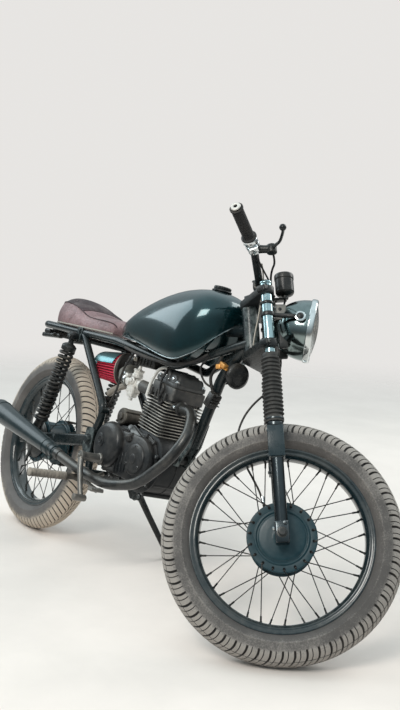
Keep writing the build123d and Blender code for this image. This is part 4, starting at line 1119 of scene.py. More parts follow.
def make_fork():
    """Tubes, gaiters, sliders, clamps and the front axle."""
    tubes = Form(fork)
    gaiters = Form(fork)
    sliders = Form(fork)
    up = Vector((0, 0, 1))
    for side in (-1, 1):
        leg = Vector((fork_offset, side * leg_spread, 0))
        tubes.turn(leg, up, soften([(0, 300), (15.5, 300), (15.5, 704), (14, 705), (0, 705)], 0.8), 48)
        tubes.turn(leg, up, soften([(0, 700), (17.5, 700), (17.5, 704), (16.5, 706.5), (0, 706.5)], 0.8), 48)
        tubes.turn(leg, up, soften([(0, 703), (10, 703), (10, 711), (8, 712), (0, 712)], 0.6, parts=1), 6)
        profile = [(15.6, 295), (24, 295), (24.6, 297), (24.6, 308), (23, 311)]
        rib = (478 - 312) / 15
        for index in range(15):
            low = 312 + rib * index
            profile += [
                (21.6, low), (22.0, low + rib * 0.2), (26.3, low + rib * 0.38), (26.9, low + rib * 0.5),
                (26.3, low + rib * 0.62), (22.0, low + rib * 0.84)
            ]
        profile += [(21.6, 478), (22, 480), (22, 488), (20.5, 490), (15.6, 490)]
        gaiters.turn(leg, up, profile, 48)
        sliders.turn(leg, up, soften([(17.8, 300), (25.6, 300), (25.6, 305), (17.8, 305)], 0.8, True), 48, True)
        sliders.turn(leg, up, soften([(0, 24), (16.6, 24), (16.6, 196), (18.5, 199), (18.5, 204), (0, 204)], 1.0), 48)
        sliders.turn(
            leg, up, soften([(0, 282), (22, 282), (22.6, 284), (22.6, 292), (21, 295.5), (0, 295.5)], 0.8), 48
        )
        sliders.mark = 1
        sliders.slab(rectangle(43, 43, 3), leg + up * 199, (1, 0, 0), (0, 1, 0), 84, 2.2)
        sliders.mark = 0
        sliders.slab(rectangle(36, 40, 6), leg + up * -26, (1, 0, 0), (0, 1, 0), 56, 3.0)
        for height in (208, 274):
            sliders.screw(leg + Vector((-21.4, 0, height)), (-1, 0, 0), 4.5)
        sliders.bolt(leg + Vector((-18, 0, 14)), (-1, 0, 0), 5)
        sliders.bolt(leg + Vector((10, side * 20, 24)), (0, side, 0), 4.5)
    tubes.make("fork_tubes_dressed", "steering", "fork chrome", "fork_tubes", "bare_steel")
    gaiters.make("fork_gaiters_ribbed", "steering", "gaiter rubber", "fork_gaiters", "black_rubber", 50)
    sliders.make("fork_legs_dressed", "steering", ["dark chrome", "block paint"], "fork_sliders", "slider_metal")
    clamps = Form(fork)
    for low, thick, leg_round, stem_round in ((505, 25, 24, 29), (668, 22, 22, 27)):
        outline = wrapped([
            (0, 0, stem_round), (fork_offset, -leg_spread, leg_round), (fork_offset, leg_spread, leg_round)
        ])
        clamps.mark = 1 if low < 600 else 0
        clamps.slab(outline, (0, 0, low), (1, 0, 0), (0, 1, 0), thick, 2.4)
        for side in (-1, 1):
            leg = Vector((fork_offset, side * leg_spread, low + thick / 2))
            out = Vector((-0.55, side * 0.83, 0)).normalized()
            clamps.block(leg + out * (leg_round + 1), (13, 26, thick * 0.8), 3, out, out.cross(up))
            clamps.bolt(leg + out * (leg_round + 1) + out.cross(up) * -13, -out.cross(up), 5)
    clamps.mark = 0
    clamps.rod((0, 0, 526), (0, 0, 700), 13, 1, 32)
    clamps.turn((0, 0, 690), up, soften([(0, 0), (19, 0), (19, 4), (16, 5), (16, 16), (13, 18), (0, 18)], 0.8), 6)
    clamps.disc((0, 0, 690), up, 21, 2.5, 0.5, 32)
    for side in (-1, 1):
        foot = Vector((30, side * 38, 690))
        clamps.turn(foot, up, soften([(0, -2), (13, -2), (12.5, 4), (10, 8), (10, 22), (0, 22)], 1.0), 32)
        clamps.disc(foot + Vector((0, -13, 32)), (0, 1, 0), 17.5, 26, 2.0, 40)
        for lean in (-14, 14):
            clamps.bolt(foot + Vector((lean, 0, 46)), up, 4)
    clamps.make("fork_clamps_dressed", "steering", ["clamp paint", "black paint"], "fork_clamps", "frame_black")
    axle = Form(fork)
    outer = leg_spread + 18
    axle.rod((fork_offset, -outer - 3, 0), (fork_offset, outer + 3, 0), 7.4, 0.6)
    for side in (-1, 1):
        axle.disc((fork_offset, side * (outer + 0.3), 0), (0, side, 0), 14, 2, 0.4, 24)
        axle.turn(
            (fork_offset, side * (outer + 2), 0), (0, side, 0),
            soften([(0, 0), (11, 0), (11, 7), (8.5, 8), (0, 8)], 0.6), 6
        )
        near = 58.3 if side < 0 else 53.4
        axle.ring((fork_offset, side * near, 0), (0, side, 0), 7.4, 13, 73.6 - near, 0.8, 32)
    plate = soften([
        (7.4, 40.4), (75, 40.4), (77.5, 42), (77.5, 45), (74, 47.5), (66, 49.5), (58, 50.5), (36, 52), (22, 54.5),
        (7.4, 55)
    ], 1.2, True)
    axle.turn((fork_offset, 0, 0), (0, 1, 0), plate, 80, True)
    arm = [Vector((x, z)) for x, z in soften([(-9, -9), (9, -9), (6, 62), (-6, 62)], 5, True)]
    axle.slab(arm, (fork_offset - 30, 61.5, 48), (0.5, 0, 0.86), (0.86, 0, -0.5), 6, 1.2)
    axle.rod((fork_offset - 30, 50, 42), (fork_offset - 30, 66, 42), 8)
    axle.make("front_axle_dressed", "steering", "dark steel", "front_axle", "bare_steel")


bar_end = Vector((-22, 352, 802))
bar_bend = Vector((20, 200, 758))
bar_root = Vector((30, 80, 722))


def sided(point, side):
    """The same point on the left (1) or on the right side (-1)."""
    return Vector((point[0], point[1] * side, point[2]))


def make_bars():
    """The handlebar with its grips, levers and switches."""
    bar = Form(fork)
    half = [bar_end, bar_bend, bar_root]
    route = soften(half + [sided(point, -1) for point in reversed(half)], 26, parts=7)
    bar.tube(route, 11, 24)
    bar.make("handlebar_dressed", "steering", "black paint", "handlebar", "bare_steel")
    grips = Form(fork)
    ends = Form(fork)
    levers = Form(fork)
    switches = Form(fork)
    for side in (-1, 1):
        way = (sided(bar_end, side) - sided(bar_bend, side)).normalized()
        root = sided(bar_bend, side)
        at = lambda distance: root + way * distance
        profile = [(12, 0), (21, 0), (21.6, 1), (21.6, 4), (20, 5.5), (17, 7)]
        for ring in range(12):
            low = 9 + ring * 8.4
            profile += [(16.4, low), (16.4, low + 6), (15.5, low + 6.8), (15.5, low + 7.8)]
        profile += [(17.4, 110), (18.4, 112), (18.4, 116), (12, 116.5)]
        grips.turn(at(44), way, profile, 72)
        long = (sided(bar_end, side) - root).length
        ends.turn(at(long - 0.4), way, soften([
            (5.6, 0), (13, 0), (13.6, 1.5), (12.4, 4.6), (8, 5.2), (5.6, 4.4)
        ], 0.5, True), 48, True)
        # a black cup: painted shade inside the bar's bore
        ends.mark = 1
        ends.turn(at(long - 0.2), way, [(5.7, 3.6), (5.7, 0.4), (0, 0.4)], 24)
        ends.mark = 0
        switches.turn(at(8), way, soften([
            (11.2, 0), (18, 0), (19.4, 2), (19.4, 13), (18.6, 14), (19.4, 15), (19.4, 30), (18, 33), (11.2, 33)
        ], 1.0, True, 2), 48, True)
        down = Vector((0.25, 0, -1)).normalized()
        switches.block(at(22) + down * 19, (20, 26, 18), 4, way, way.cross(down))
        switches.rod(at(14) - Vector((17, 0, -4)), at(14) - Vector((24, 0, -6)), 4.2)
        switches.block(at(27) - Vector((20, 0, -5)), (9, 7, 6), 1.5, way, Vector((0, 0, 1)))
        switches.screw(at(20) + Vector((0, 0, 19)), (0, 0, 1), 3)
        switches.turn(at(-10), way, soften([
            (11.2, 0), (17, 0), (17.6, 1.5), (17.6, 13), (17, 14), (11.2, 14)
        ], 0.8, True), 40, True)
        pivot = Vector((68, 206 * side, 749))
        hub = at(-3)
        reach = (pivot - hub).normalized()
        path = [hub + reach * 14, hub + reach * 22, pivot - reach * 4, pivot]
        levers.tube(flowing(path, 4), [12, 12, 11.8, 11.5, 11.2, 11, 11, 11, 11, 11, 11, 11, 11], 16)
        levers.disc(pivot - Vector((0, 0, 12)), (0, 0, 1), 14, 24, 2, 32)
        levers.bolt(pivot + Vector((0, 0, 12)), (0, 0, 1), 4.5)
        blade = flowing([
            pivot, (78, 228 * side, 749), (89, 250 * side, 748), (95, 290 * side, 745.5), (97, 320 * side, 743.5),
            (96, 334 * side, 742)
        ], 6)
        levers.tube(blade, [5.6 - 1.5 * min(1, k / 10) for k in range(len(blade))], 14)
        levers.turn(
            (96, 336 * side - 8.6 * side, 742), (0, side, 0),
            [(4, 0)] + [(9.4 * sin(a), 8.6 - 9.4 * cos(a)) for a in range(32, 180, 12)] + [(0, 17)], 24
        )
        adjuster = pivot + Vector((-4, -13 * side, 1))
        levers.turn(
            adjuster, (0.1, -side, 0.05), soften([(0, 0), (5.5, 0), (5.5, 8), (3.6, 9), (3.6, 18), (0, 18)], 0.5), 12
        )
        mirror_lug = hub + Vector((-4, 0, 18))
        levers.rod(mirror_lug, mirror_lug + Vector((0, 0, 6)), 7)
    grips.make("grips_ribbed", "steering", "black rubber", "grips", "black_rubber", 40)
    ends.make("bar_ends", "steering", ["pale alloy", "painted hole shade"], slot="bare_steel")
    levers.make("hand_levers_dressed", "steering", "black paint", "hand_levers", "black_plastic")
    switches.make("switch_housings", "steering", "bright steel", slot="black_plastic")


lamp_way = Vector((cos(14), 0, -sin(14)))
lamp_centre = Vector((167, 0, 588))
fork_y = Vector((0, 1, 0))


def make_lamp():
    """The headlamp with its lens and ears, and the gauge."""
    shell = Form(fork)
    bowl = []
    for step in range(13):
        t = 90 * step / 12
        bowl.append((87.6 * sin(t) ** 0.86, -104 + 104 * (1 - cos(t) ** 0.92)))
    shell.turn(lamp_centre, lamp_way, bowl + [(87.6, 1)], 96)
    shell.mark = 1
    shell.turn(lamp_centre, lamp_way, soften([
        (84.5, -7), (90, -8), (92, -6), (92, 5), (90.5, 8.5), (87, 10.3), (82, 10.3), (82, 6), (84.5, 2)
    ], 1.4, True), 128, True)
    below = lamp_way.cross(fork_y)
    below *= -1 if below.z > 0 else 1
    shell.block(lamp_centre + below * 92, (11, 8, 7), 1.5, lamp_way, (0, 1, 0))
    shell.screw(lamp_centre + below * 95, below, 3.2)
    shell.make("headlamp_bowl", "steering", ["lamp chrome", "ring chrome"], "headlamp_shell", "smoked_chrome", 40)
    mirror = Form(fork)
    dish = [(0, -62), (20, -61), (40, -54), (58, -41), (70, -24), (78, -6), (81.8, 4)]
    mirror.turn(lamp_centre, lamp_way, [(r * 0.985, z) for r, z in flowing([Vector(p) for p in dish], 4)], 96)
    mirror.make("headlamp_reflector", "steering", "reflector", slot="smoked_chrome")
    bulb = Form(fork)
    bulb.turn(lamp_centre + lamp_way * -60, lamp_way, soften([
        (0, 0), (14, 0), (14, 6), (9, 8), (9, 30), (7, 36), (0, 38)
    ], 1.0), 32)
    bulb.turn(lamp_centre + lamp_way * -14, lamp_way, soften([(0, 0), (17, -1), (18, 1), (16, 4), (0, 6)], 1.0), 32)
    bulb.make("headlamp_bulb", "steering", "bright steel", slot="smoked_chrome")
    lens = Form(fork)
    front = []
    edge = 81.6
    for step in range(25):
        r = edge * step / 24
        row = []
        for k in range(144):
            angle = 360 * k / 144
            y = r * cos(angle)
            ridge = 0.9 * abs(math.sin(y * math.pi / 9.5)) * min(1, (edge - r) / 8)
            dome = 8 + 13.2 * (1 - (r / edge) ** 2)
            row.append(lamp_centre + lamp_way * (dome - ridge) + fork_y * y + lamp_way.cross(fork_y) * r * sin(angle))
        front.append(row)
    back = [[p - lamp_way * 3.0 for p in row] for row in reversed(front)]
    lens.grid(front + back, True)
    lens.make("headlamp_glass", "steering", "lamp glass", "headlamp_lens", "lamp_glass", 60)
    ears = Form(fork)
    for side in (-1, 1):
        leg = Vector((fork_offset, side * leg_spread, 0))
        for low, tall in ((601, 11), (637, 7)):
            ears.ring(leg + Vector((0, 0, low)), (0, 0, 1), 15.6, 19, tall, 0.8, 40)
        arm = flowing([
            leg + Vector((17, -side * 4, 607)), leg + Vector((44, -side * 3, 603)), leg + Vector((74, side * 1, 598)),
            Vector((141, side * leg_spread, 595))
        ], 5)
        ears.tube(arm, 6.5, 14)
        bolt = Vector((137, side * leg_spread, 595))
        ears.rod(bolt - Vector((0, side * 8, 0)), bolt + Vector((0, side * 4, 0)), 13, 1)
        ears.mark = 1
        ears.turn(
            bolt + Vector((0, side * 3.6, 0)), (0, side, 0),
            soften([(9.5, 0), (15, 0), (15, 3), (9.5, 4)], 0.8, True), 40, True
        )
        ears.mark = 0
        ears.bolt(bolt + Vector((0, side * 4, 0)), (0, side, 0), 7)
    ears.mark = 2
    for y in (-56, 60):
        ears.plate(soften([(66, 604), (98, 606), (102, 650), (70, 652)], 5, True), y, 4, 0.8)
    ears.mark = 0
    ears.turn((84, -60, 636), (0, -1, 0), soften([(0, 0), (5, 0), (5, 2), (0, 2.5)], 0.5), 24)
    for side in (-1, 1):
        ears.tube([(72, side * 56, 640), (48, side * 74, 642)], 5, 12)
        ears.tube([(96, side * 56, 612), (112, side * 40, 604), (120, side * 20, 598)], 5.5, 12)
        ears.block((88, side * 40, 560), (26, 14, 70), 4)
    ears.make("headlamp_ears", "steering", ["black paint", "ring chrome", "grey steel"], slot="smoked_chrome")
    gauge = Form(fork)
    at = Vector((104, 0, 690))
    gauge.slab([p + Vector((-24, 0)) for p in rectangle(56, 30, 6)], at, (1, 0, 0), (0, 1, 0), 3, 0.8)
    gauge.turn(at, (0, 0, 1), soften([
        (0, 3), (9, 3), (9, 12), (17, 14), (24.5, 18), (27, 24), (27, 62), (28.3, 64), (28.3, 76), (26.8, 79.5),
        (24.8, 80), (24.8, 77), (0, 76.5)
    ], 1.2), 72)
    for side in (-1, 1):
        gauge.bolt(at + Vector((-34, side * 8, 3)), (0, 0, 1), 4)
    gauge.make("gauge_case", "steering", "black plastic", "speedometer", "black_plastic")
    dial = Form(fork)
    dial.turn(at, (0, 0, 1), [(22.4, 76.8), (0, 77.2)], 48)
    dial.make("gauge_dial", "steering", "gauge face", slot="black_plastic")
    marks = Form(fork)
    for index in range(25):
        angle = 225 - index * 270 / 24
        long = 5 if index % 4 == 0 else 2.6
        way = Vector((sin(angle), cos(angle), 0))
        marks.block(
            at + way * (20.5 - long / 2) + Vector((0, 0, 77.5)), (long, 0.8 if index % 4 else 1.3, 0.3), 0.1, way,
            way.cross(Vector((0, 0, 1))) * -1
        )
    hand = Vector((sin(214), cos(214), 0))
    marks.block(at + hand * 7 + Vector((0, 0, 78.2)), (20, 1.1, 0.4), 0.2, hand, hand.cross(Vector((0, 0, 1))) * -1)
    marks.make("gauge_marks", "steering", "pale alloy", slot="black_plastic")


# Engine: X and Z of the crankshaft, of the gearbox shaft and of the front sprocket
crank = (690, 385)
gearbox = (540, 385)
sprocket = (492, 392)
barrel_tilt = 7.0
barrel_x = Vector((cos(barrel_tilt), 0, -sin(barrel_tilt)))
barrel_up = Vector((sin(barrel_tilt), 0, cos(barrel_tilt)))
barrel_base = Vector((683, 0, 470))
side_way = Vector((0, 1, 0))
fin_pitch = 9.5
head_base = 70.5
cover_base = 160.0


def on_barrel(x, y, up):
    """A point on the leaning axes of the barrel."""
    return barrel_base + barrel_x * x + side_way * y + barrel_up * up


def on_top(form, outline, at, depth, edge):
    """A block square to the barrel, from its place on the barrel's axes."""
    form.slab(outline, on_barrel(*at), barrel_x, side_way, depth, edge)


intake_way = Vector((-cos(6) * cos(6), -cos(6) * sin(6), sin(6)))
intake_side = Vector((-sin(6), cos(6), 0))
intake_up = intake_way.cross(intake_side) * -1
carb_face = on_barrel(0, -20, head_base + 46) + intake_way * 146.3
port = on_barrel(0, -20, head_base + 30)
port_way = Vector((66, -4, -2)).normalized()
filter_face = Vector((388, 2, 636))
filter_way = Vector((-0.95, -0.3, -0.04)).normalized()


def make_cases():
    """The crankcase and its covers on both sides."""
    case = Form(chassis)
    outline = wrapped([(*gearbox, 80), (*crank, 95)])
    lid = [p if p.y < 470 else Vector((p.x, min(p.y, 470 - (p.x - 683) * 0.12))) for p in outline]
    case.plate(lid, 58, 116, 5)
    for low in (-59.2, 1, 57.4):
        rib = wrapped([(*gearbox, 82), (*crank, 97)])
        rib = [Vector((p.x, min(p.y, 474 - (p.x - 683) * 0.12))) for p in rib]
        case.plate(rib, low + 3, 4, 1)
    on_top(case, rectangle(116, 116, 14), (0, 0, -26), 25.5, 2)
    for x in (-48, 48):
        for y in (-50, 50):
            case.rod(on_barrel(x, y, -26), on_barrel(x, y, 1), 9)
    for index in range(5):
        top = Vector((560 + index * 22, 0, 462 + index * 1.5))
        case.block(top, (5, 104, 16), 1.5)
    for x, z, r in ((798, 420, 14), (452, 420, 12), (470, 330, 12)):
        case.rod((x, -30 if x > 700 else -52, z), (x, 30 if x > 700 else 52, z), r, 1.5)
        case.bolt((x, -30 if x > 700 else -52, z), (0, -1, 0), 7)
    for x, z in ((470, 450), (500, 466), (640, 300), (720, 292), (760, 330), (600, 304)):
        case.rod((x, -50, z), (x, 50, z), 8, 1)
    for index in range(9):
        case.block((600 + index * 14, 0, 297 - (3 if index % 2 else 0)), (5, 88, 10), 1)
    case.rod((640, -20, 292), (640, -20, 284), 13, 1, 6)
    case.make("crankcase_dressed", "chassis", "case metal", "crankcase", "engine_grey")
    cover = Form(chassis)
    low = -58
    cover.plate(wrapped([(*gearbox, 77), (*crank, 80)]), low, 8, 1.5)
    cover.plate(wrapped([(540, 387, 70), (690, 385, 71)]), low - 7, 24, 9)
    cover.turn((536, low - 28, 400), (0, -1, 0), soften([
        (0, 0), (73, 0), (72, 10), (68, 20), (56, 27), (30, 29), (0, 29.5)
    ], 5), 80)
    cover.plate(wrapped([(514, 414, 15), (522, 402, 15)], 48), low - 54, 6, 2)
    cover.turn((518, low - 58, 408), (0, -1, 0), soften([
        (0, 2.4), (8, 2.4), (9, 4), (11, 4), (11.5, 1), (11.5, -1)
    ], 0.6), 32)
    cover.turn((690, low - 28, 385), (0, -1, 0), soften([(0, 0), (50, 0), (47, 8), (36, 11), (0, 12)], 3), 64)
    cover.turn((690, low - 38, 385), (0, -1, 0), soften([(0, 0), (16, 0), (16, 3), (10, 4), (0, 4)], 1), 32)
    for index in range(3):
        angle = 90 + 120 * index
        cover.screw((690 + 38 * cos(angle), low - 38, 385 + 38 * sin(angle)), (0, -1, 0), 4.5)
    cover.plate(soften([(596, 470), (610, 478), (692, 446), (676, 434)], 5, True), low - 8, 12, 3)
    for index in range(5):
        start = Vector((590 + index * 17, low - 31, 352 + index * 4))
        cover.block(start, (3.2, 5, 62), 1.2, (1, 0, 0.12), (0, 1, 0))
    cover.turn(
        (634, low - 26, 440), (-0.3, -0.5, 0.8), soften([(0, -6), (15, -6), (15, 10), (12, 14), (0, 14)], 1.5), 48,
        pleats=12, depth=1.2
    )
    around = [
        (466, 410), (472, 352), (500, 318), (545, 306), (600, 306), (650, 312), (700, 305), (748, 322), (772, 366),
        (766, 412), (735, 449), (690, 461), (636, 456), (590, 459), (520, 465), (482, 445)
    ]
    for x, z in around:
        cover.rod((x, low, z), (x, low - 11, z), 7.5, 1, 20)
        cover.bolt((x, low - 11, z), (0, -1, 0), 4.6, False)
    cover.rod((540, low - 50, 350), (540, low - 57, 350), 15, 1.5)
    cover.make("clutch_cover_dressed", "chassis", ["cover metal", "edge metal"], "engine_covers", "engine_grey")
    left = Form(chassis)
    left.turn((690, 58.2, 385), (0, 1, 0), soften([
        (0, 0), (86, 0), (86, 8), (82, 12), (80, 26), (70, 33), (40, 37), (0, 38)
    ], 4), 80)
    left.turn((690, 94, 385), (0, 1, 0), soften([(0, 0), (24, 0), (22, 8), (0, 8)], 1.2), 40)
    left.block((690, 103, 385), (26, 5, 5), 1)
    left.plate(wrapped([(500, 392, 52), (560, 400, 40)]), 92, 15, 5)
    for index in range(8):
        angle = 20 + index * 45
        x, z = crank[0] + 84 * cos(angle), crank[1] + 84 * sin(angle)
        left.rod((x, 58.3, z), (x, 70, z), 7, 1, 18)
        left.bolt((x, 70, z), (0, 1, 0), 4.4, False)
    for x, z in ((470, 430), (455, 372), (520, 345), (585, 425)):
        left.bolt((x, 91, z), (0, 1, 0), 4.6)
    left.make("generator_cover_dressed", "chassis", "cover metal", slot="engine_grey")


def add_fin(form, wide, long, up, mark=0):
    """One cooling fin, with its rim marked for the pale edge of rubbed metal and painted highlight."""
    kept = form.mark
    form.mark = mark
    rows = []
    shades = []
    for inwards, height, shade in (
        (14, 0, 0.1), (3.5, 0, 0.3), (0.8, 0.1, 0.9), (0, 0.9, 1), (0, 1.9, 1), (0.8, 2.7, 1), (3.5, 2.8, 0.45),
        (14, 2.8, 0.15)
    ):
        outline = rectangle(wide - 2 * inwards, long - 2 * inwards, 13, 6)
        rows.append([on_barrel(p.x, p.y, up + height) for p in outline])
        shades.append([shade] * len(outline))
    form.grid(rows, True, dust=shades)
    form.mark = kept


def make_barrel():
    """The finned barrel, the head and the rocker cover."""
    barrel = Form(chassis)
    head = Form(chassis)
    studs = Form(chassis)
    on_top(barrel, rectangle(100, 106, 20), (0, 0, 0), head_base, 1)
    on_top(barrel, rectangle(116, 116, 10), (0, 0, 0), 6, 1)
    for index in range(7):
        shrink = (3, 1.5, 0, 0, 0, 0, 0)[index]
        add_fin(barrel, 126 - shrink, 142 - shrink, 7.4 + index * fin_pitch)
        for corner in range(4):
            x = 48 * (1 if corner % 2 else -1)
            y = 50 * (1 if corner > 1 else -1)
            barrel.rod(on_barrel(x, y, 4 + index * fin_pitch), on_barrel(x, y, 14 + index * fin_pitch), 8, 0.5, 14)
    on_top(barrel, rectangle(44, 16, 4), (0, 60, 2), head_base - 4, 1.5)
    barrel.make("cylinder_finned", "chassis", "fin metal", "cylinder", "fin_grey")
    on_top(head, rectangle(104, 110, 16), (0, 0, head_base), 56, 1.5)
    on_top(head, rectangle(122, 124, 12), (0, 0, head_base + 50), cover_base - head_base - 50.5, 3)
    on_top(head, rectangle(60, 20, 6), (0, 62, head_base + 1), 86, 2)
    for index in range(5):
        add_fin(head, 129 - index * 1.2, 145 - index * 1.2, head_base + 2.6 + index * fin_pitch, 1)
    for side in (-1, 1):
        for x in (-38, -12, 14, 40):
            head.slab(rectangle(5, 26, 2), on_barrel(x, side * 66, head_base + 54), barrel_x, barrel_up, 8, 1.4)
    for side in (-1, 1):
        head.turn(
            on_barrel(-2, side * 60, head_base + 72), (0, side, 0),
            soften([(0, 0), (17, 0), (17, 8), (14, 10.5), (0, 11)], 1.4), 36
        )
        head.disc(on_barrel(-2, side * 70, head_base + 72), (0, side, 0), 7, 3.5, 0.6, 6)
    head.rod(port, port + port_way * 62, 20, 2, 32)
    head.slab(soften([
        (-34, -7), (34, -7), (34, 7), (16, 20), (-16, 20), (-34, 7)
    ], 8, True), port + port_way * 66 + Vector((0, 0, -4)), (0, -1, 0), (0, 0, 1), 6, 1.2)
    inlet = on_barrel(0, -20, head_base + 46)
    head.rod(inlet, inlet + intake_way * 84, 18.5, 2, 32)
    head.rod(inlet + intake_way * 80, inlet + intake_way * 145.5, 20, 2, 32)
    head.slab(
        soften([(-33, -15), (33, -15), (33, 15), (-33, 15)], 13, True), inlet + intake_way * 62, intake_side,
        intake_up, 7, 1.2
    )
    for y in (-24, 24):
        studs.bolt(inlet + intake_way * 62 + Vector((0, y, 0)), intake_way, 5)
        studs.bolt(port + port_way * 69 + Vector((0, y, 0)), port_way, 5)
    plug = on_barrel(28, -66, head_base + 34)
    plug_way = Vector((0.35, -0.9, 0.28)).normalized()
    studs.disc(plug - plug_way * 14, plug_way, 10, 10, 0.8, 6)
    head.make("cylinder_head_finned", "chassis", ["head metal", "fin metal"], "cylinder_head", "fin_grey")
    boot = Form(chassis)
    boot.turn(plug - plug_way * 6, plug_way, soften([
        (0, 0), (9.5, 0), (9.5, 4), (8, 6), (8, 12), (9, 13), (9, 20), (7, 22), (0, 22)
    ], 0.8), 24)
    lead = flowing([
        plug + plug_way * 14, plug + Vector((2, -19, 14)), on_barrel(18, -82, 128), on_barrel(-6, -70, 168),
        on_barrel(-30, -46, 212), (560, -30, 700), (540, -22, 712)
    ], 7)
    boot.tube(lead, 3.6, 10)
    boot.make("spark_plug_lead", "chassis", "black rubber", slot="black_rubber")
    cover = Form(chassis)
    on_top(cover, rectangle(112, 116, 16, 6), (0, 0, cover_base), 12, 2.5)
    rows = []
    for wide, long, up, corner in (
        (106, 104, 11, 16), (104, 102, 15, 17), (96, 94, 32, 20), (88, 86, 38, 22), (66, 66, 42, 22),
        (30, 30, 43.2, 12), (1, 1, 43.5, 0.4)
    ):
        rows.append([on_barrel(p.x, p.y, cover_base + up) for p in rectangle(wide, long, corner, 6)])
    cover.grid(rows, True)
    for x in (-30, -10, 10, 30):
        cover.block(on_barrel(x, 0, cover_base + 40), (5, 70, 8), 2, barrel_x, side_way)
    for side in (-1, 1):
        cover.turn(
            on_barrel(-14, side * 46, cover_base + 24), (0, side, 0.15),
            soften([(0, 0), (19, 0), (19, 6), (15, 9), (0, 9.5)], 1.4), 40
        )
        cover.turn(
            on_barrel(28, side * 46, cover_base + 22), (0, side, 0.15),
            soften([(0, 0), (15, 0), (15, 6), (12, 8), (0, 8.5)], 1.4), 36
        )
    for x in (-48, 0, 48):
        for y in (-50, 50):
            cover.rod(on_barrel(x, y, cover_base + 4), on_barrel(x, y, cover_base + 17), 8.5, 1.2)
            studs.bolt(on_barrel(x, y, cover_base + 17), barrel_up, 5.2)
    cover.make("rocker_cover_dressed", "chassis", "rocker metal", "rocker_cover", "fin_grey")
    for index in range(2):
        studs.screw(on_barrel(-14 + 42 * index, -54.5, cover_base + 24), (0, -1, 0.15), 5)
    studs.make("engine_bolts", "chassis", "bright steel", slot="pale_alloy")
    breather = Form(chassis)
    breather.tube(flowing([
        on_barrel(-46, -30, cover_base + 36), on_barrel(-56, -36, cover_base + 40),
        on_barrel(-76, -44, cover_base + 24), on_barrel(-84, -50, cover_base - 16),
        on_barrel(-80, -54, cover_base - 60)
    ], 8), 5.2, 14)
    breather.make("breather_pipe", "chassis", "pale alloy", slot="pale_alloy")


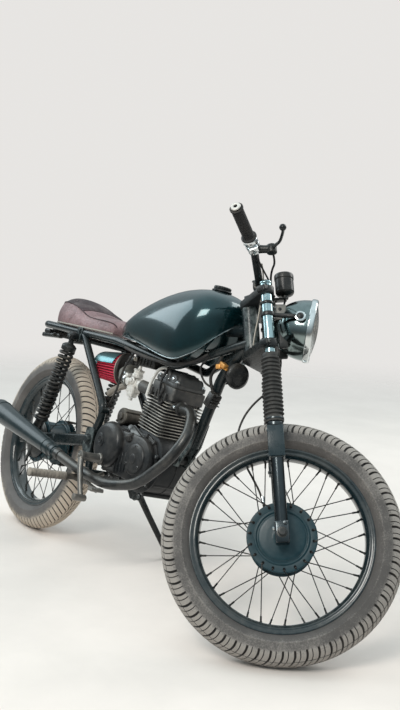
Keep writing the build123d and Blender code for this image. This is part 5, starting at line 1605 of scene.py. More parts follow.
def make_intake(sizes):
    """The carburettor, its duct, the filter and the filter's shield."""
    carb = Form(chassis)

    def at(along, up=0.0, side=0.0):
        """A point on the carburettor's own axes."""
        return carb_face + intake_way * along + intake_up * (up * 0.78 + 4) + intake_side * side * 0.8

    carb.turn(carb_face, intake_way, soften([
        (0, 0), (20, 0), (20, 6), (15, 8), (15, 20), (17, 24), (17, 54), (19, 58), (19, 74), (0, 74)
    ], 1.2), 40)
    middle = 38
    carb.turn(at(middle, 18), intake_up, soften([
        (0, 0), (18, 0), (18, 9), (15.5, 11), (15.5, 19), (18, 20), (18, 23), (14, 25), (10, 27), (0, 28)
    ], 1.2), 40)
    carb.turn(at(middle, 52), intake_up, soften([(0, 0), (7, 0), (5, 12), (3.4, 18), (0, 18)], 0.8), 16)
    carb.slab(rectangle(37, 35, 8), at(middle, -44), intake_way * -1, intake_side, 22, 3)
    carb.slab(rectangle(42, 40, 9), at(middle, -20), intake_way * -1, intake_side, 4, 1)
    carb.slab(rectangle(29, 27, 8), at(middle, -66), intake_way * -1, intake_side, 22, 5)
    carb.disc(at(middle, -70), intake_up * -1, 8, 7, 0.8, 6)
    carb.turn(at(middle - 4, 4, -20), intake_side * -1, soften([
        (0, 0), (11, 0), (11, 5), (6.5, 7), (6.5, 12), (0, 12)
    ], 1), 28)
    carb.block(at(middle + 12, -6, -24), (12, 10, 24), 2)
    carb.rod(at(middle + 22, 16, -20), at(middle + 22, 16, -34), 7, 1)
    for x in (-14, 14):
        for y in (-14, 14):
            carb.screw(at(middle + x, -19.2, y), intake_up, 3.2)
            carb.rod(at(middle + x, -24, y), at(middle + x, -50, y), 4.6, 0.6, 14)
            carb.bolt(at(middle + x * 0.8, 47, y * 0.8), intake_up, 3.2)
    carb.make("carburettor_dressed", "chassis", "pale alloy", "carburettor", "pale_alloy")
    duct = Form(chassis)
    carb_end = carb_face + intake_way * 70
    elbow = flowing([
        carb_end, carb_end + intake_way * 14, carb_end + intake_way * 26 + Vector((0, 2, 4)), (430, -26, 628),
        filter_face - filter_way * 22, filter_face - filter_way
    ], 5)
    duct.tube(
        elbow, [20.5 + 1.6 * (1 if k % 4 == 2 and 8 < k < 20 else 0) + min(4, k * 0.16) for k in range(len(elbow))],
        40
    )
    duct.make("intake_boot", "chassis", "grey rubber", "intake_duct", "grey_rubber")
    clips = Form(chassis)
    for spot, way, radius in (
        (carb_end + intake_way * 3, intake_way, 21.6), (filter_face - filter_way * 14, filter_way, 26.0)
    ):
        clips.ring(spot, way, radius - 1, radius + 0.8, 8, 0.4, 56)
        clips.block(spot + way * 4 + Vector((0, -0.7, 0.7)) * (radius + 3), (8, 12, 8), 1.2)
    clips.make("intake_clips", "chassis", "bright steel", slot="pale_alloy")
    body = Form(chassis)
    steps = sizes.pleats * 4
    rows = []
    shades = []
    x_axis, y_axis, way = square_to(filter_way)
    for along in (11, 12, 30, 50, 70, 90, 101, 102):
        size = 53.5 - (along - 11) * 0.088
        row = []
        shade = []
        for step in range(steps):
            fold = (0, 0.5, 1, 0.5)[step % 4]
            row.append(
                filter_face + way * along
                + (x_axis * cos(360 * step / steps) + y_axis * sin(360 * step / steps)) * (size - 6.5 * fold)
            )
            # 1 on the fold crests for the painted highlight, 0 in the valleys for the painted shade
            shade.append(1 - fold)
        rows.append(row)
        shades.append(shade)
    body.grid(rows, True, dust=shades)
    body.make("air_filter_pleats", "chassis", "gauze", "air_filter", "filter_red", 80)
    caps = Form(chassis)
    caps.turn(
        filter_face, filter_way, soften([(0, 0), (54, 0), (56, 3), (56, 9), (54, 12), (40, 12.5), (0, 12.5)], 1.4), 72
    )
    caps.mark = 1
    caps.ring(filter_face + filter_way * 9, filter_way, 53, 56.6, 3, 0.4, 72)
    caps.make("air_filter_base", "chassis", ["black rubber", "dull alloy"], slot="filter_red")
    # a sheet over the filter's upper half, its teal colour a painted sky reflection
    shield = Form(chassis)
    shield.turn(filter_face + filter_way * 101, filter_way, soften([
        (0, 0), (44, 0), (46, 2), (46, 7), (40, 11), (0, 12)
    ], 1.6), 64)
    level = filter_way.cross(side_way).normalized()
    level = level if level.z > 0 else -level
    outer = []
    for along, out in ((12.5, 56), (20, 56), (60, 52.4), (100, 48.8), (104, 47.6)):
        middle = filter_face + filter_way * along
        outer.append([middle + (level * cos(angle) + side_way * sin(angle)) * out for angle in range(-78, 79, 4)])
    shield.grid(outer)
    shield.grid([[p - (p - filter_face - filter_way * 50).normalized() * 1.2 for p in row] for row in outer])
    shield.make("air_filter_shield", "chassis", "teal metal", slot="filter_red")


def make_exhaust():
    """The header pipe and the muffler."""
    pipe = Form(chassis)
    face = port + port_way * 66
    start = Vector((355, -163, 321))
    end = Vector((-86, -190, 386))
    way = (end - start).normalized()
    corners = [
        face + port_way * 0.3, face + port_way * 76, (892, -70, 496), (868, -98, 418), (770, -116, 322),
        (640, -134, 288), start - way * 146, start - way * 0.3
    ]
    line = soften(corners, 48, parts=10)
    pipe.tube(line, 16.4, 36)
    pipe.turn(face + port_way * 5.5, port_way, soften([(0, 0), (22, 0), (22, 5), (17, 8), (0, 8)], 1), 40)
    pipe.ring(start - way * 26, way, 16, 18.4, 24, 0.6, 48)
    pipe.make("exhaust_header", "chassis", "header paint", "exhaust_pipe", "exhaust_black")
    silencer = Form(chassis)
    length = (end - start).length
    profile = [
        (0, -2), (19.4, -2), (19.6, 28), (21, 33), (24.4, 37), (25, 60), (37.4, length - 60), (38.4, length - 48),
        (40, length - 43), (40, length - 15), (38, length - 9), (31, length - 2.5), (25, length), (23, length - 3),
        (22, length - 50), (0, length - 50)
    ]
    silencer.turn(start, way, soften(profile, 3), 72)
    for along, radius in ((29, 20.2), (62, 25.6), (length - 46, 39.7)):
        silencer.turn(start + way * along, way, soften([
            (radius - 1, 0), (radius + 1.1, 1), (radius + 1.1, 4), (radius - 1, 5)
        ], 0.6, True), 64, True)
    clamp = start + way * 8
    silencer.ring(clamp, way, 19, 22, 14, 0.6, 48)
    silencer.block(clamp + way * 7 + Vector((0, -10, -23)), (12, 8, 14), 1.5)
    silencer.bolt(clamp + way * 7 + Vector((0, -14, -24)), (0, -1, 0), 5)
    silencer.make("muffler_dressed", "chassis", "exhaust paint", "muffler", "exhaust_black")
    hanger = Form(chassis)
    spot = start + way * 90
    hanger.slab(
        soften([(-14, -8), (14, -8), (9, 46), (-7, 46)], 5, True), spot + Vector((0, 30, -10)), (1, 0, 0), (0, 0, 1),
        4, 1
    )
    hanger.make("muffler_hanger", "chassis", "frame paint", slot="frame_black")


# Running gear
def make_shocks():
    """Both shock absorbers with their springs."""
    shocks = Form(chassis)
    springs = Form(chassis)
    for side in (-1, 1):
        low = Vector((96, side * 118, 340))
        high = Vector((190, side * 118, 702))
        way = (high - low).normalized()
        length = (high - low).length
        for end in (low, high):
            shocks.ring(end - Vector((0, 12, 0)), (0, 1, 0), 7.2, 15.5, 24, 1.2, 36)
            shocks.disc(end + Vector((0, side * 12, 0)), (0, side, 0), 12, 2, 0.4, 24)
            shocks.bolt(end + Vector((0, side * 13.5, 0)), (0, side, 0), 7, False)
        shocks.turn(low, way, soften([
            (0, 9), (10, 9), (10, 20), (14.5, 24), (16, 30), (16, 58), (25.5, 60), (25.5, 66), (22, 70), (0, 70)
        ], 1.4), 48)
        shocks.disc(low, way, 15.5, 190, 1.2, 36, 60)
        shocks.turn(low, way, [(0, 180), (6, 180), (6, length - 34), (0, length - 34)], 24)
        shocks.turn(low, way, soften([
            (0, length - 52), (25.5, length - 52), (25.5, length - 36), (18, length - 30), (10, length - 26),
            (10, length - 10), (0, length - 10)
        ], 1.6), 48)
        springs.spring(low + way * 71, low + way * (length - 54), 21.6, 5.0, 15.5, 10)
    shocks.make("shock_bodies", "chassis", "black paint", "shock_absorbers", "shock_black")
    springs.make("shock_springs", "chassis", "spring paint", slot="shock_black")


def chain_line(parts):
    """Points round the two sprockets, evenly spaced, with their direction."""
    outline = wrapped([(0, rear_radius, 80), (*sprocket, 36)], 160)
    lengths = [(outline[(k + 1) % len(outline)] - outline[k]).length for k in range(len(outline))]
    total = sum(lengths)
    made = []
    index, done = 0, 0.0
    for part in range(parts):
        want = total * part / parts
        while done + lengths[index] < want:
            done += lengths[index]
            index += 1
        t = (want - done) / lengths[index]
        made.append(outline[index].lerp(outline[(index + 1) % len(outline)], t))
    return made


def make_chain():
    """The chain's links and the front sprocket."""
    chain = Form(chassis)
    places = chain_line(118)
    count = len(places)
    for index, place in enumerate(places):
        after = places[(index + 1) % count]
        way = (after - place).normalized()
        wide = 4.6 if index % 2 else 3.2
        middle = (place + after) / 2
        plate = soften([
            (-10.5, -2.6), (-4, -4.6), (0, -3.4), (4, -4.6), (10.5, -2.6), (10.5, 2.6), (4, 4.6), (0, 3.4), (-4, 4.6),
            (-10.5, 2.6)
        ], 2.2, True, 1)
        for side in (-1, 1):
            at = Vector((middle.x, chain_side + side * wide + 0.7, middle.y))
            chain.slab(plate, at, (way.x, 0, way.y), (-way.y, 0, way.x), 1.4, 0.3)
        chain.turn((place.x, chain_side - 5.6, place.y), (0, 1, 0), [
            (0, 0), (1.9, 0.2), (1.9, 2), (3.9, 2.1), (3.9, 9.1), (1.9, 9.2), (1.9, 11), (0, 11.2)
        ], 8)
    chain.make("drive_chain_links", "chassis", "chain steel", "drive_chain", "bare_steel", 30)
    front = Form(chassis)
    centre = Vector((sprocket[0], 0, sprocket[1]))
    add_sprocket(front, centre, 15, [(0.0, 31), (0.3, 31.5), (0.42, 37), (0.58, 37), (0.7, 31.5)])
    front.rod((sprocket[0], 55, sprocket[1]), (sprocket[0], 76, sprocket[1]), 12, 1)
    front.make("front_sprocket", "chassis", "dark steel", slot="bare_steel")


def make_feet():
    """Kick lever, footpegs with their rubbers, brake pedal and gear lever."""
    kick = Form(chassis)
    boss = Vector((540, -112.3, 350))
    kick.turn(boss, (0, -1, 0), soften([
        (0, 0), (17, 0), (17, 8), (14, 10), (14, 62), (15.5, 64), (15.5, 76), (0, 76)
    ], 1.4), 36)
    lever = flowing([(540, -180, 350), (552, -186, 326), (578, -188, 276), (598, -187, 240), (606, -186, 228)], 7)
    kick.tube(lever, [11 - 3 * min(1, k / 14) for k in range(len(lever))], 18)
    kick.turn(
        (604, -172, 232), (0, -1, 0), soften([(0, 0), (9.5, 0), (10.5, 3), (10.5, 40), (9.5, 43), (0, 43)], 1.2), 28
    )
    kick.bolt((540, -188, 350), (0, -1, 0), 6)
    kick.make("kick_lever_dressed", "chassis", "grey steel", "kick_lever", "bare_steel")
    pegs = Form(chassis)
    rubbers = Form(chassis)
    outer = 100.7
    for side in (-1, 1):
        plate = soften([(438, 304), (468, 304), (490, 284), (490, 260), (462, 260), (438, 280)], 6, True)
        pegs.plate(plate, side * (outer + 5.3) + 5, 10, 1.4)
        start = Vector((472, side * (outer + 8), 273))
        end = Vector((455, side * 300, 263))
        way = (end - start).normalized()
        pegs.rod(start, start + way * 64, 9.5, 1)
        pegs.block(start + way * 18, (30, 20, 26), 4, way, Vector((1, 0, 0)))
        pegs.disc(start + way * 62, way, 15, 4, 0.6, 36)
        pegs.bolt((453, side * (outer + 10.3), 292), (0, side, 0), 6)
        pegs.bolt((474, side * (outer + 10.3), 272), (0, side, 0), 6)
        length = (end - start).length
        profile = [(0, 67), (11.6, 67)]
        for index in range(9):
            at = 69 + index * (length - 76) / 9
            step = (length - 76) / 9
            profile += [(13.2, at), (13.2, at + step * 0.62), (11.2, at + step * 0.72), (11.2, at + step * 0.95)]
        profile += [(14, length - 6), (14, length - 1), (12, length), (0, length)]
        rubbers.turn(start, way, profile, 40)
    pegs.make("footpeg_brackets", "chassis", "cast iron", "footpegs", "black_rubber")
    rubbers.make("footpeg_rubbers", "chassis", "peg rubber", slot="black_rubber")
    pedals = Form(chassis)
    arm = flowing([(500, -118, 268), (540, -126, 264), (590, -135, 262), (632, -158, 265), (668, -182, 270)], 6)
    pedals.tube(arm, 6.4, 16)
    pedals.rod((500, -63, 300), (500, -126, 266), 7.4)
    pedals.disc((500, -108, 272), (0, -1, 0), 13, 20, 1.2, 32)
    pedals.block((668, -184, 272), (26, 44, 9), 3)
    for index in range(5):
        pedals.block((668, -202 + index * 9, 277.4), (24, 4, 3), 1)
    pedals.tube(flowing([
        (580, 58.5, 322), (580, 84, 322), (584, 95, 321), (604, 97, 317), (650, 101, 306), (690, 104, 296)
    ], 5), 6, 14)
    pedals.disc((580, 58.5, 322), (0, 1, 0), 11, 16, 1, 32)
    pedals.make("foot_levers", "chassis", "grey steel", "foot_controls", "bare_steel")
    toe = Form(chassis)
    profile = [(0, 0), (9, 0)]
    for index in range(6):
        profile += [(10.6, 2 + index * 8), (10.6, 7 + index * 8), (9.2, 8 + index * 8), (9.2, 9.4 + index * 8)]
    profile += [(10.6, 50), (0, 51)]
    toe.turn((690, 98, 296), (0, 1, 0), profile, 32)
    toe.make("gear_lever_rubber", "chassis", "black rubber", slot="black_rubber")


def make_small():
    """Tail lamp, horn, side stand, starter motor and rear axle."""
    lamp = Form(chassis)
    lamp.block((-120, 0, 700.5), (40, 92, 22), 7)
    lamp.block((-116, 0, 713.4), (36, 60, 4), 2)
    for side in (-1, 1):
        lamp.block((-66, side * 60, 690), (132, 20, 16), 5, (1, 0, 0.06), (0, 1, 0))
        lamp.block((-92, side * 61, 702), (44, 24, 18), 6)
        lamp.bolt((-30, side * 72, 694), (0, side, 0), 6)
    lamp.make("tail_lamp_body", "chassis", "black plastic", "tail_lamp", "frame_black")
    lens = Form(chassis)
    lens.slab(rectangle(78, 14, 6), (-139, 0, 700.5), (0, 1, 0), (0, 0, 1), 4, 1.4)
    lens.make("tail_lamp_lens", "chassis", "red lens", slot="frame_black")
    horn = Form(chassis)
    horn_z = 702
    horn.turn((950, 0, horn_z), (1, 0, 0), soften([
        (0, 0), (30, 0), (33, 2), (38, 6), (38, 12), (36, 14), (36, 17), (26, 22), (14, 23), (0, 26)
    ], 1.2), 72)
    horn.turn((926, 0, horn_z), (1, 0, 0), soften([(0, 0), (22, 0), (22, 22), (28, 25), (0, 25)], 1.2), 48)
    horn.plate(soften([(904, 672), (948, 690), (948, 712), (912, 700)], 6, True), 3, 5, 1)
    for index in range(6):
        horn.screw((966, 33 * sin(index * 60), horn_z + 33 * cos(index * 60)), (1, 0, 0), 2.6)
    horn.make("horn_dressed", "chassis", "black plastic", "horn", "black_plastic")
    stand = Form(chassis)
    make_stand(stand)
    stand.make("side_stand_dressed", "side_stand_leg", "black paint", "side_stand", "frame_black")
    motor = Form(chassis)
    y_low, y_high = -66, 46
    at = Vector((524, 0, 493.3))
    profile = [
        (0, y_low), (24, y_low), (27.6, y_low + 4), (27.6, y_low + 14), (26.4, y_low + 15), (26.4, y_high - 20),
        (27.6, y_high - 19), (27.6, y_high - 2), (20, y_high), (0, y_high)
    ]
    motor.turn(at, (0, 1, 0), soften(profile, 1.2), 56)
    motor.turn(at + Vector((0, y_low - 0.5, 0)), (0, -1, 0), soften([(0, -2), (12, -2), (12, 5), (0, 6)], 1), 32)
    for angle in (40, 220):
        low = at + Vector((28 * cos(angle), y_low + 4, 28 * sin(angle)))
        high = at + Vector((28 * cos(angle), y_high - 6, 28 * sin(angle)))
        motor.rod(low, high, 3)
        motor.bolt(low, (0, -1, 0), 4)
    motor.make("starter_motor_dressed", "chassis", "cast iron", "starter_motor", "pale_alloy")
    rear = Form(chassis)
    rear.rod((0, -118, rear_radius), (0, 118, rear_radius), 7.4, 0.8)
    for side in (-1, 1):
        rear.disc((0, side * 105.8, rear_radius), (0, side, 0), 16, 2.4, 0.5, 32)
        rear.turn(
            (0, side * 108, rear_radius), (0, side, 0),
            soften([(0, 0), (12.5, 0), (12.5, 8.5), (9, 10), (0, 10)], 0.8), 6
        )
        near = 62 if side < 0 else 71
        rear.ring((0, side * near, rear_radius), (0, side, 0), 7.4, 13.5, 74 - near, 0.4, 32)
    plate = soften(
        [(7.4, 48.4), (68, 48.4), (69.5, 50), (69, 54), (60, 57), (54, 60), (30, 61.4), (7.4, 61.4)], 1.2, True
    )
    rear.turn(rear_axle, (0, -1, 0), plate, 80, True)
    arm = soften([(-9, -9), (9, -9), (6, 58), (-6, 58)], 5, True)
    rear.slab(arm, rear_axle + Vector((-12, -62, -40)), (0.9, 0, -0.4), (-0.4, 0, -0.9), 6, 1.2)
    rear.make("rear_axle_dressed", "chassis", "dark steel", "rear_axle", "bare_steel")


def make_stand(form):
    """The side stand, parked."""
    pivot = Vector((500, 94, 246))
    up = (chassis.inverted().to_3x3() @ Vector((0, 0, 1))).normalized()
    height = (chassis @ Vector((548, 238, 0))).z / (chassis.to_3x3() @ Vector((0, 0, 1))).z
    foot = Vector((548, 238, -height))
    axis = (chassis.inverted().to_3x3() @ Vector(joints["stand_fold"]["axis"])).normalized()
    form.disc(pivot - axis * 7.5, axis, 13.5, 15, 1.2, 36)
    form.bolt(pivot + axis * 7.5, axis, 7)
    ankle = foot + up * 8
    way = (ankle - pivot).normalized()
    form.tube([pivot + axis * 3, pivot.lerp(ankle, 0.3), pivot.lerp(ankle, 0.7), ankle], [11, 10, 9.6, 9.6], 18)
    side = up.cross(way).normalized()
    form.slab(wrapped([(-14, 0, 13), (14, 0, 13)], 32), foot + up * 0.3, side, up.cross(side), 6, 1.2)


def make_frame_details():
    """Lugs, brackets, coil, wiring and hoses round the tubes."""
    lugs = Form(chassis)
    for side in (-1, 1):
        for x, z in ((200, 726), (452, 495)):
            lugs.disc((x, side * 88 - 14, z), (0, 1, 0), 11, 28, 1, 24)
        lugs.plate(soften([(176, 738), (214, 738), (206, 690), (182, 690)], 8, True), side * 100 + 3, 5, 1)
        lugs.plate(
            soften([(400, 430), (446, 430), (452, 352), (430, 330), (398, 362)], 10, True), side * 101 + 3, 5, 1.2
        )
        lugs.disc((424, side * 103, 392), (0, side, 0), 18, 2.5, 0.4, 32)
        lugs.turn(
            (424, side * 105, 392), (0, side, 0), soften([(0, 0), (12.5, 0), (12.5, 9), (9, 10.5), (0, 10.5)], 0.8), 6
        )
    lugs.make("frame_lugs", "chassis", "frame paint", slot="frame_black")
    wires = Form(chassis)
    routes = [
        ([(930, 30, 700), (905, 44, 690), (880, 34, 676), (872, 10, 668), (880, -16, 650)], 4.0),
        ([(900, -20, 770), (896, -30, 720), (884, -34, 680), (900, -26, 640), (912, -20, 610)], 4.6),
        ([(880, -60, 742), (850, -74, 716), (800, -80, 700), (720, -84, 690), (600, -94, 694), (500, -98, 706)], 5.0),
        ([(880, -54, 736), (860, -60, 700), (880, -50, 664), (902, -30, 652)], 3.2),
        ([(500, -60, 700), (470, -66, 640), (462, -70, 560), (440, -74, 500)], 3.6),
    ]
    for route, size in routes:
        wires.tube(flowing(route, 8), size, 10)
    wires.make("wiring_loom", "chassis", "black rubber", slot="black_rubber")
    plugs = Form(chassis)
    plugs.block((939, -42, 722), (24, 16, 14), 2, (1, 0, -0.3), (0, 1, 0))
    plugs.block((928, -48, 716), (14, 12, 16), 2, (0.8, 0.4, 0.3), (0, 1, 0))
    plugs.block((946, -36, 714), (12, 10, 10), 2, (0.6, 0.5, -0.3), (0, 1, 0))
    plugs.make("wiring_plugs", "chassis", "brass", slot="black_plastic")
    box = Form(chassis)
    box.block((908, -26, 618), (26, 34, 44), 3, (1, 0, -0.45), (0, 1, 0))
    for index in range(4):
        box.block((924, -26, 634 - index * 10), (6, 30, 3), 1, (1, 0, -0.45), (0, 1, 0))
    box.make("regulator_box", "chassis", "black plastic", slot="black_plastic")
    tray = Form(chassis)
    tray.block((548, -6, 684), (118, 84, 46), 5)
    tray.block((548, -6, 709), (124, 90, 4), 1.5)
    for index in range(5):
        tray.block((510 + index * 19, -49.5, 684), (5, 3, 38), 1)
    tray.block((470, -30, 672), (30, 40, 30), 4)
    for x in (500, 596):
        tray.screw((x, -48, 698), (0, -1, 0), 4)
    tray.make("electrics_box", "chassis", "black plastic", slot="black_plastic")
    tag = Form(chassis)
    tag.block((507, -55, 680), (16, 5, 14), 1.5)
    tag.bolt((507, -58, 680), (0, -1, 0), 4)
    tag.tube(
        flowing([(446, -20, 588), (424, -20, 583), (396, -20, 574), (366, -20, 560), (344, -18, 546)], 6), 11, 24
    )
    tag.disc((446, -20, 588), (1, 0, 0.2), 13, 6, 1, 24, -4)
    tag.make("breather_hose", "chassis", "dull alloy", slot="pale_alloy")
    coil = Form(chassis)
    coil.rod((600, -66, 716), (520, -66, 718), 15, 2, 32)
    coil.block((560, -66, 736), (46, 12, 8), 1.5)
    coil.make("ignition_coil", "chassis", "black plastic", slot="black_plastic")


def cable(name, points, body, where, size=3.0, finish="black rubber", stands_for=()):
    """A round cable on a smooth curve whose control points are the route's points."""
    route = bpy.data.curves.new(name, "CURVE")
    route.dimensions = "3D"
    route.bevel_depth = size * 0.001
    route.bevel_resolution = 4
    route.resolution_u = 8
    route.use_fill_caps = True
    line = route.splines.new("NURBS")
    line.points.add(len(points) - 1)
    for spot, point in zip(line.points, points):
        spot.co = (*(where @ Vector(point)), 1.0)
    line.order_u = 3
    line.use_endpoint_u = True
    route.materials.append(material(finish))
    piece = bpy.data.objects.new(name, route)
    bpy.context.scene.collection.objects.link(piece)
    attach(piece, body)
    if stands_for:
        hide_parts(stands_for)
    return piece


def make_cables():
    """The cables that the fork and the handlebar hold."""
    cable("front_brake_cable", [
        (70, -206, 741), (78, -150, 738), (68, -92, 744), (64, -36, 740), (68, 18, 716), (78, 50, 680), (80, 59, 620),
        (81, 58, 555), (80, 60, 500), (52, 62, 445), (2, 64, 410), (-36, 65, 366), (-58, 66, 310), (-48, 68, 250),
        (-20, 66, 190), (4, 62, 135), (10, 60, 84),
    ], "steering", fork, stands_for="brake_cable")
    cable("clutch_cable", [
        (50, 193, 751), (44, 150, 742), (40, 96, 735), (52, 40, 726), (62, 8, 700), (60, -26, 660), (54, -52, 610),
        (40, -58, 560)
    ], "steering", fork)
    cable("throttle_cable", [
        (26, -190, 740), (40, -150, 722), (52, -110, 716), (64, -62, 712), (66, -40, 680), (58, -52, 640),
        (44, -58, 590), (36, -56, 556)
    ], "steering", fork, 2.6)
    cable("decompressor_cable", [
        (40, -150, 735), (44, -110, 722), (40, -80, 700), (32, -64, 655), (20, -58, 606), (8, -50, 562), (4, -44, 538)
    ], "steering", fork, 2.2, "dull alloy")
    cable("lamp_loom", [
        (70, -20, 600), (62, -34, 622), (56, -46, 650), (60, -30, 684), (72, -10, 700)
    ], "steering", fork, 4.0)
    cable("gauge_cable", [
        (104, 0, 692), (98, 8, 674), (84, 30, 640), (78, 44, 590), (76, 52, 540), (74, 52, 500), (50, 56, 430),
        (20, 62, 360), (34, 66, 260), (52, 66, 150), (54, 62, 60)
    ], "steering", fork, 2.8)
    spring = Form(fork)
    spring.turn((4, 62, 135), (0.1, -0.04, -1), soften([(3, 0), (5, 1), (5, 22), (3, 24)], 0.6), 12)
    spring.make("brake_cable_stop", "steering", "bright steel", slot="bare_steel")


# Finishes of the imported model's own pieces
node_finishes = {"frame": "frame paint", "swingarm": "frame paint"}


def finish_nodes():
    """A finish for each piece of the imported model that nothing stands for."""
    for name, piece in nodes.items():
        if not piece.hide_render:
            piece.data.materials.clear()
            piece.data.materials.append(material(node_finishes.get(name, "dark steel")))


# Stage
def lit_world():
    """A soft sky for the light and the reflections, and a plain backdrop for the camera."""
    world = bpy.data.worlds.new("studio")
    bpy.context.scene.world = world
    world.use_nodes = True
    sky = Shader(world.node_tree)
    high = sky.add("ShaderNodeTexCoord", {}, {}, "Generated").part("Z")
    glow = sky.mix(high.between(-0.15, 0.9), (0.15, 0.165, 0.17), (0.84, 0.98, 1.03))
    glow = sky.mix(high.between(0.02, -0.25), glow, (0.34, 0.32, 0.29))
    path = sky.add("ShaderNodeLightPath", {}, {}, "Is Camera Ray")
    plain = sky.mix(path, glow, (0.80, 0.785, 0.765))
    back = sky.tree.nodes["Background"]
    sky.tree.links.new(plain.socket, back.inputs["Color"])
    back.inputs["Strength"].default_value = 1.0


def add_floor(sizes):
    """A pale floor that fades into the backdrop away from the motorcycle."""
    rows = []
    for radius in (0.01, 1, 2, 3, 4, 5, 6.5, 8):
        rows.append([(radius * cos(a), radius * sin(a), 0) for a in range(0, 360, 6)])
    mesh = bpy.data.meshes.new("floor")
    points = [point for row in rows for point in row]
    faces = [
        (r * 60 + c, r * 60 + (c + 1) % 60, (r + 1) * 60 + (c + 1) % 60, (r + 1) * 60 + c)
        for r in range(len(rows) - 1)
        for c in range(60)
    ]
    mesh.from_pydata(points, [], faces + [tuple(range(59, -1, -1))])
    floor = bpy.data.objects.new("floor", mesh)
    bpy.context.scene.collection.objects.link(floor)
    finish = Finish("floor", Roughness=0.9)
    grain = finish.noise(3.0, 6.0, 0.6)
    colour = list(sizes.floor)
    finish.use(
        "Base Color",
        finish.mix(
            grain.between(0.3, 0.7), [part * 0.96 for part in colour], [min(1.0, part * 1.03) for part in colour]
        )
    )
    far = finish.add("ShaderNodeVectorMath", {"operation": "LENGTH"}, {0: finish.place()}, "Value")
    finish.use("Alpha", far.between(6.4, 2.4))
    mesh.materials.append(finish.material)


def make_stage(sizes):
    """The floor, the lights, the world and the camera."""
    lit_world()
    add_floor(sizes)
    for name, place, aim, size, power, colour in (
        ("key light", (1.5, -2.6, 3.0), (0, 0, 0.4), 1.3, 74, (1.0, 0.96, 0.9)),
        ("sky light", (-2.4, -1.4, 2.4), (0, 0, 0.5), 2.0, 44, (0.84, 0.95, 1.0)),
        ("back light", (0.6, 3.0, 2.6), (0, 0, 0.5), 2.0, 52, (1.0, 0.98, 0.95)),
    ):
        light = bpy.data.lights.new(name, "AREA")
        light.size = size
        light.energy = power * sizes.light
        light.color = colour
        lamp = bpy.data.objects.new(name, light)
        bpy.context.scene.collection.objects.link(lamp)
        lamp.location = place
        lamp.rotation_euler = (Vector(aim) - Vector(place)).to_track_quat("-Z", "Y").to_euler()
    eye = bpy.data.cameras.new("camera")
    camera = bpy.data.objects.new("camera", eye)
    bpy.context.scene.collection.objects.link(camera)
    eye.lens = sizes.lens
    eye.sensor_width = 36.0
    eye.clip_end = 60.0
    yaw, down, roll = 54.005, 6.748, 2.669
    gaze = Vector((-sin(yaw) * cos(down), cos(yaw) * cos(down), -sin(down)))
    level = Vector((cos(yaw), sin(yaw), 0))
    above = level.cross(gaze)
    right = level * cos(roll) + above * sin(roll)
    upright = above * cos(roll) - level * sin(roll)
    camera_place = Vector((3.1259 + chassis.translation.x, -1.5360 + chassis.translation.y, 1.0575))
    turn = Matrix((right, upright, -gaze)).transposed().to_4x4()
    camera.matrix_world = Matrix.Translation(camera_place) @ turn
    bpy.context.scene.camera = camera
    bpy.context.scene.view_settings.view_transform = "Standard"




# The add-on
def colour_setting(name, description, value):
    """A colour property of the add-on."""
    return bpy.props.FloatVectorProperty(
        name=name, description=description, default=value, subtype="COLOR", size=3, min=0, max=1
    )


class WheelSettings(bpy.types.PropertyGroup):
    knob_depth: bpy.props.FloatProperty(
        name="Tread depth", description="Depth of the cuts between the tread blocks, in millimetres", default=7.2,
        min=1, max=10
    )
    tread: colour_setting("Tread colour", "Dusty rubber of the tread", (0.3, 0.275, 0.25))
    wall: colour_setting("Sidewall colour", "Rubber of the tyre walls", (0.07, 0.064, 0.06))


class BodySettings(bpy.types.PropertyGroup):
    paint: colour_setting("Tank colour", "Base paint of the tank", (0.005, 0.042, 0.050))
    seat_side: colour_setting("Seat side colour", "Leather of the seat's sides", (0.29, 0.18, 0.185))
    seat_top: colour_setting("Seat top colour", "Leather of the seat's top panel", (0.052, 0.026, 0.029))
    seat_pressure: bpy.props.FloatProperty(
        name="Seat filling", description="Pressure of the padding under the leather", default=4.0, min=0, max=12
    )


class EngineSettings(bpy.types.PropertyGroup):
    cases: colour_setting("Case colour", "Bare metal of the engine cases", (0.1, 0.11, 0.12))
    filter: colour_setting("Filter colour", "Gauze of the air filter", (0.7, 0.012, 0.06))
    pleats: bpy.props.IntProperty(
        name="Filter folds", description="Number of folds round the air filter", default=34, min=12, max=60
    )


class StageSettings(bpy.types.PropertyGroup):
    floor: colour_setting("Floor colour", "Paint of the floor", (0.745, 0.675, 0.625))
    light: bpy.props.FloatProperty(
        name="Light", description="Strength of the studio lights", default=1.0, min=0, max=4, subtype="FACTOR"
    )
    lens: bpy.props.FloatProperty(
        name="Lens", description="Focal length of the camera, in millimetres", default=49.35, min=20, max=120
    )


class AddWheels(bpy.types.Operator):
    """Make both tyres, rims, hubs and their spokes"""
    bl_idname = "motorcycle.add_wheels"
    bl_label = "Wheels"

    def execute(self, context):
        make_wheels(context.scene.motorcycle_wheels)
        return {"FINISHED"}


class AddTank(bpy.types.Operator):
    """Make the fuel tank and its cap"""
    bl_idname = "motorcycle.add_tank"
    bl_label = "Fuel tank"

    def execute(self, context):
        make_tank()
        return {"FINISHED"}


class AddSeat(bpy.types.Operator):
    """Make the padded seat"""
    bl_idname = "motorcycle.add_seat"
    bl_label = "Seat"

    def execute(self, context):
        make_seat(context.scene.motorcycle_body)
        return {"FINISHED"}


class AddFork(bpy.types.Operator):
    """Make the fork with its gaiters, sliders, clamps and axle"""
    bl_idname = "motorcycle.add_fork"
    bl_label = "Fork"

    def execute(self, context):
        make_fork()
        return {"FINISHED"}


class AddBars(bpy.types.Operator):
    """Make the handlebar with its grips, levers and switches"""
    bl_idname = "motorcycle.add_bars"
    bl_label = "Handlebar"

    def execute(self, context):
        make_bars()
        return {"FINISHED"}


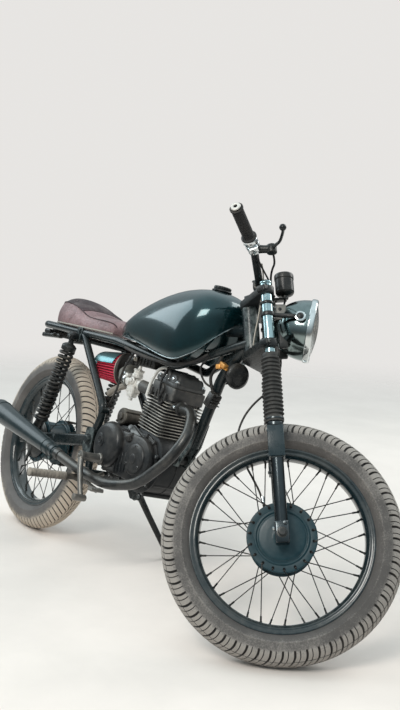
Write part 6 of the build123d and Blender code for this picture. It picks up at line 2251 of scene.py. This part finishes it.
class AddLamp(bpy.types.Operator):
    """Make the headlamp and the gauge"""
    bl_idname = "motorcycle.add_lamp"
    bl_label = "Headlamp and gauge"

    def execute(self, context):
        make_lamp()
        return {"FINISHED"}


class AddCases(bpy.types.Operator):
    """Make the crankcase and its covers"""
    bl_idname = "motorcycle.add_cases"
    bl_label = "Engine cases"

    def execute(self, context):
        make_cases()
        return {"FINISHED"}


class AddBarrel(bpy.types.Operator):
    """Make the finned barrel, the head and the rocker cover"""
    bl_idname = "motorcycle.add_barrel"
    bl_label = "Barrel and head"

    def execute(self, context):
        make_barrel()
        return {"FINISHED"}


class AddIntake(bpy.types.Operator):
    """Make the carburettor, its boot and the filter"""
    bl_idname = "motorcycle.add_intake"
    bl_label = "Carburettor and filter"

    def execute(self, context):
        make_intake(context.scene.motorcycle_engine)
        return {"FINISHED"}


class AddExhaust(bpy.types.Operator):
    """Make the header and the muffler"""
    bl_idname = "motorcycle.add_exhaust"
    bl_label = "Exhaust"

    def execute(self, context):
        make_exhaust()
        return {"FINISHED"}


class AddRunningGear(bpy.types.Operator):
    """Make the shock absorbers, chain, feet controls and small fittings"""
    bl_idname = "motorcycle.add_running_gear"
    bl_label = "Running gear"

    def execute(self, context):
        for make in (make_shocks, make_chain, make_feet, make_small, make_frame_details):
            make()
        return {"FINISHED"}


class AddCables(bpy.types.Operator):
    """Make the cables that the fork and the handlebar hold"""
    bl_idname = "motorcycle.add_cables"
    bl_label = "Cables"

    def execute(self, context):
        make_cables()
        return {"FINISHED"}


class AddFinishes(bpy.types.Operator):
    """Give the frame's own pieces that stay their finishes"""
    bl_idname = "motorcycle.add_finishes"
    bl_label = "Finishes"

    def execute(self, context):
        finish_nodes()
        return {"FINISHED"}


class AddStage(bpy.types.Operator):
    """Set the floor, the lights, the world and the camera"""
    bl_idname = "motorcycle.add_stage"
    bl_label = "Stage"

    def execute(self, context):
        make_stage(context.scene.motorcycle_stage)
        return {"FINISHED"}


operators = (
    AddWheels, AddTank, AddSeat, AddFork, AddBars, AddLamp, AddCases, AddBarrel, AddIntake, AddExhaust,
    AddRunningGear, AddCables, AddFinishes, AddStage,
)


class MotorcyclePanel(bpy.types.Panel):
    """Lists the pieces and their settings"""
    bl_idname = "VIEW3D_PT_motorcycle"
    bl_label = "Motorcycle"
    bl_space_type = "VIEW_3D"
    bl_region_type = "UI"
    bl_category = "Motorcycle"

    def draw(self, context):
        for group in groups:
            settings = getattr(context.scene, group)
            box = self.layout.box()
            for name in settings.__annotations__:
                box.prop(settings, name)
        for operator in operators:
            self.layout.operator(operator.bl_idname)


groups = {
    "motorcycle_wheels": WheelSettings, "motorcycle_body": BodySettings,
    "motorcycle_engine": EngineSettings, "motorcycle_stage": StageSettings,
}


def register():
    for kind in (*groups.values(), *operators, MotorcyclePanel):
        bpy.utils.register_class(kind)
    for name, kind in groups.items():
        setattr(bpy.types.Scene, name, bpy.props.PointerProperty(type=kind))


def unregister():
    for name in groups:
        delattr(bpy.types.Scene, name)
    for kind in reversed((*groups.values(), *operators, MotorcyclePanel)):
        bpy.utils.unregister_class(kind)


def main():
    register()
    for operator in operators:
        group, name = operator.bl_idname.split(".")
        getattr(getattr(bpy.ops, group), name)()


if __name__ == "__main__":
    main()
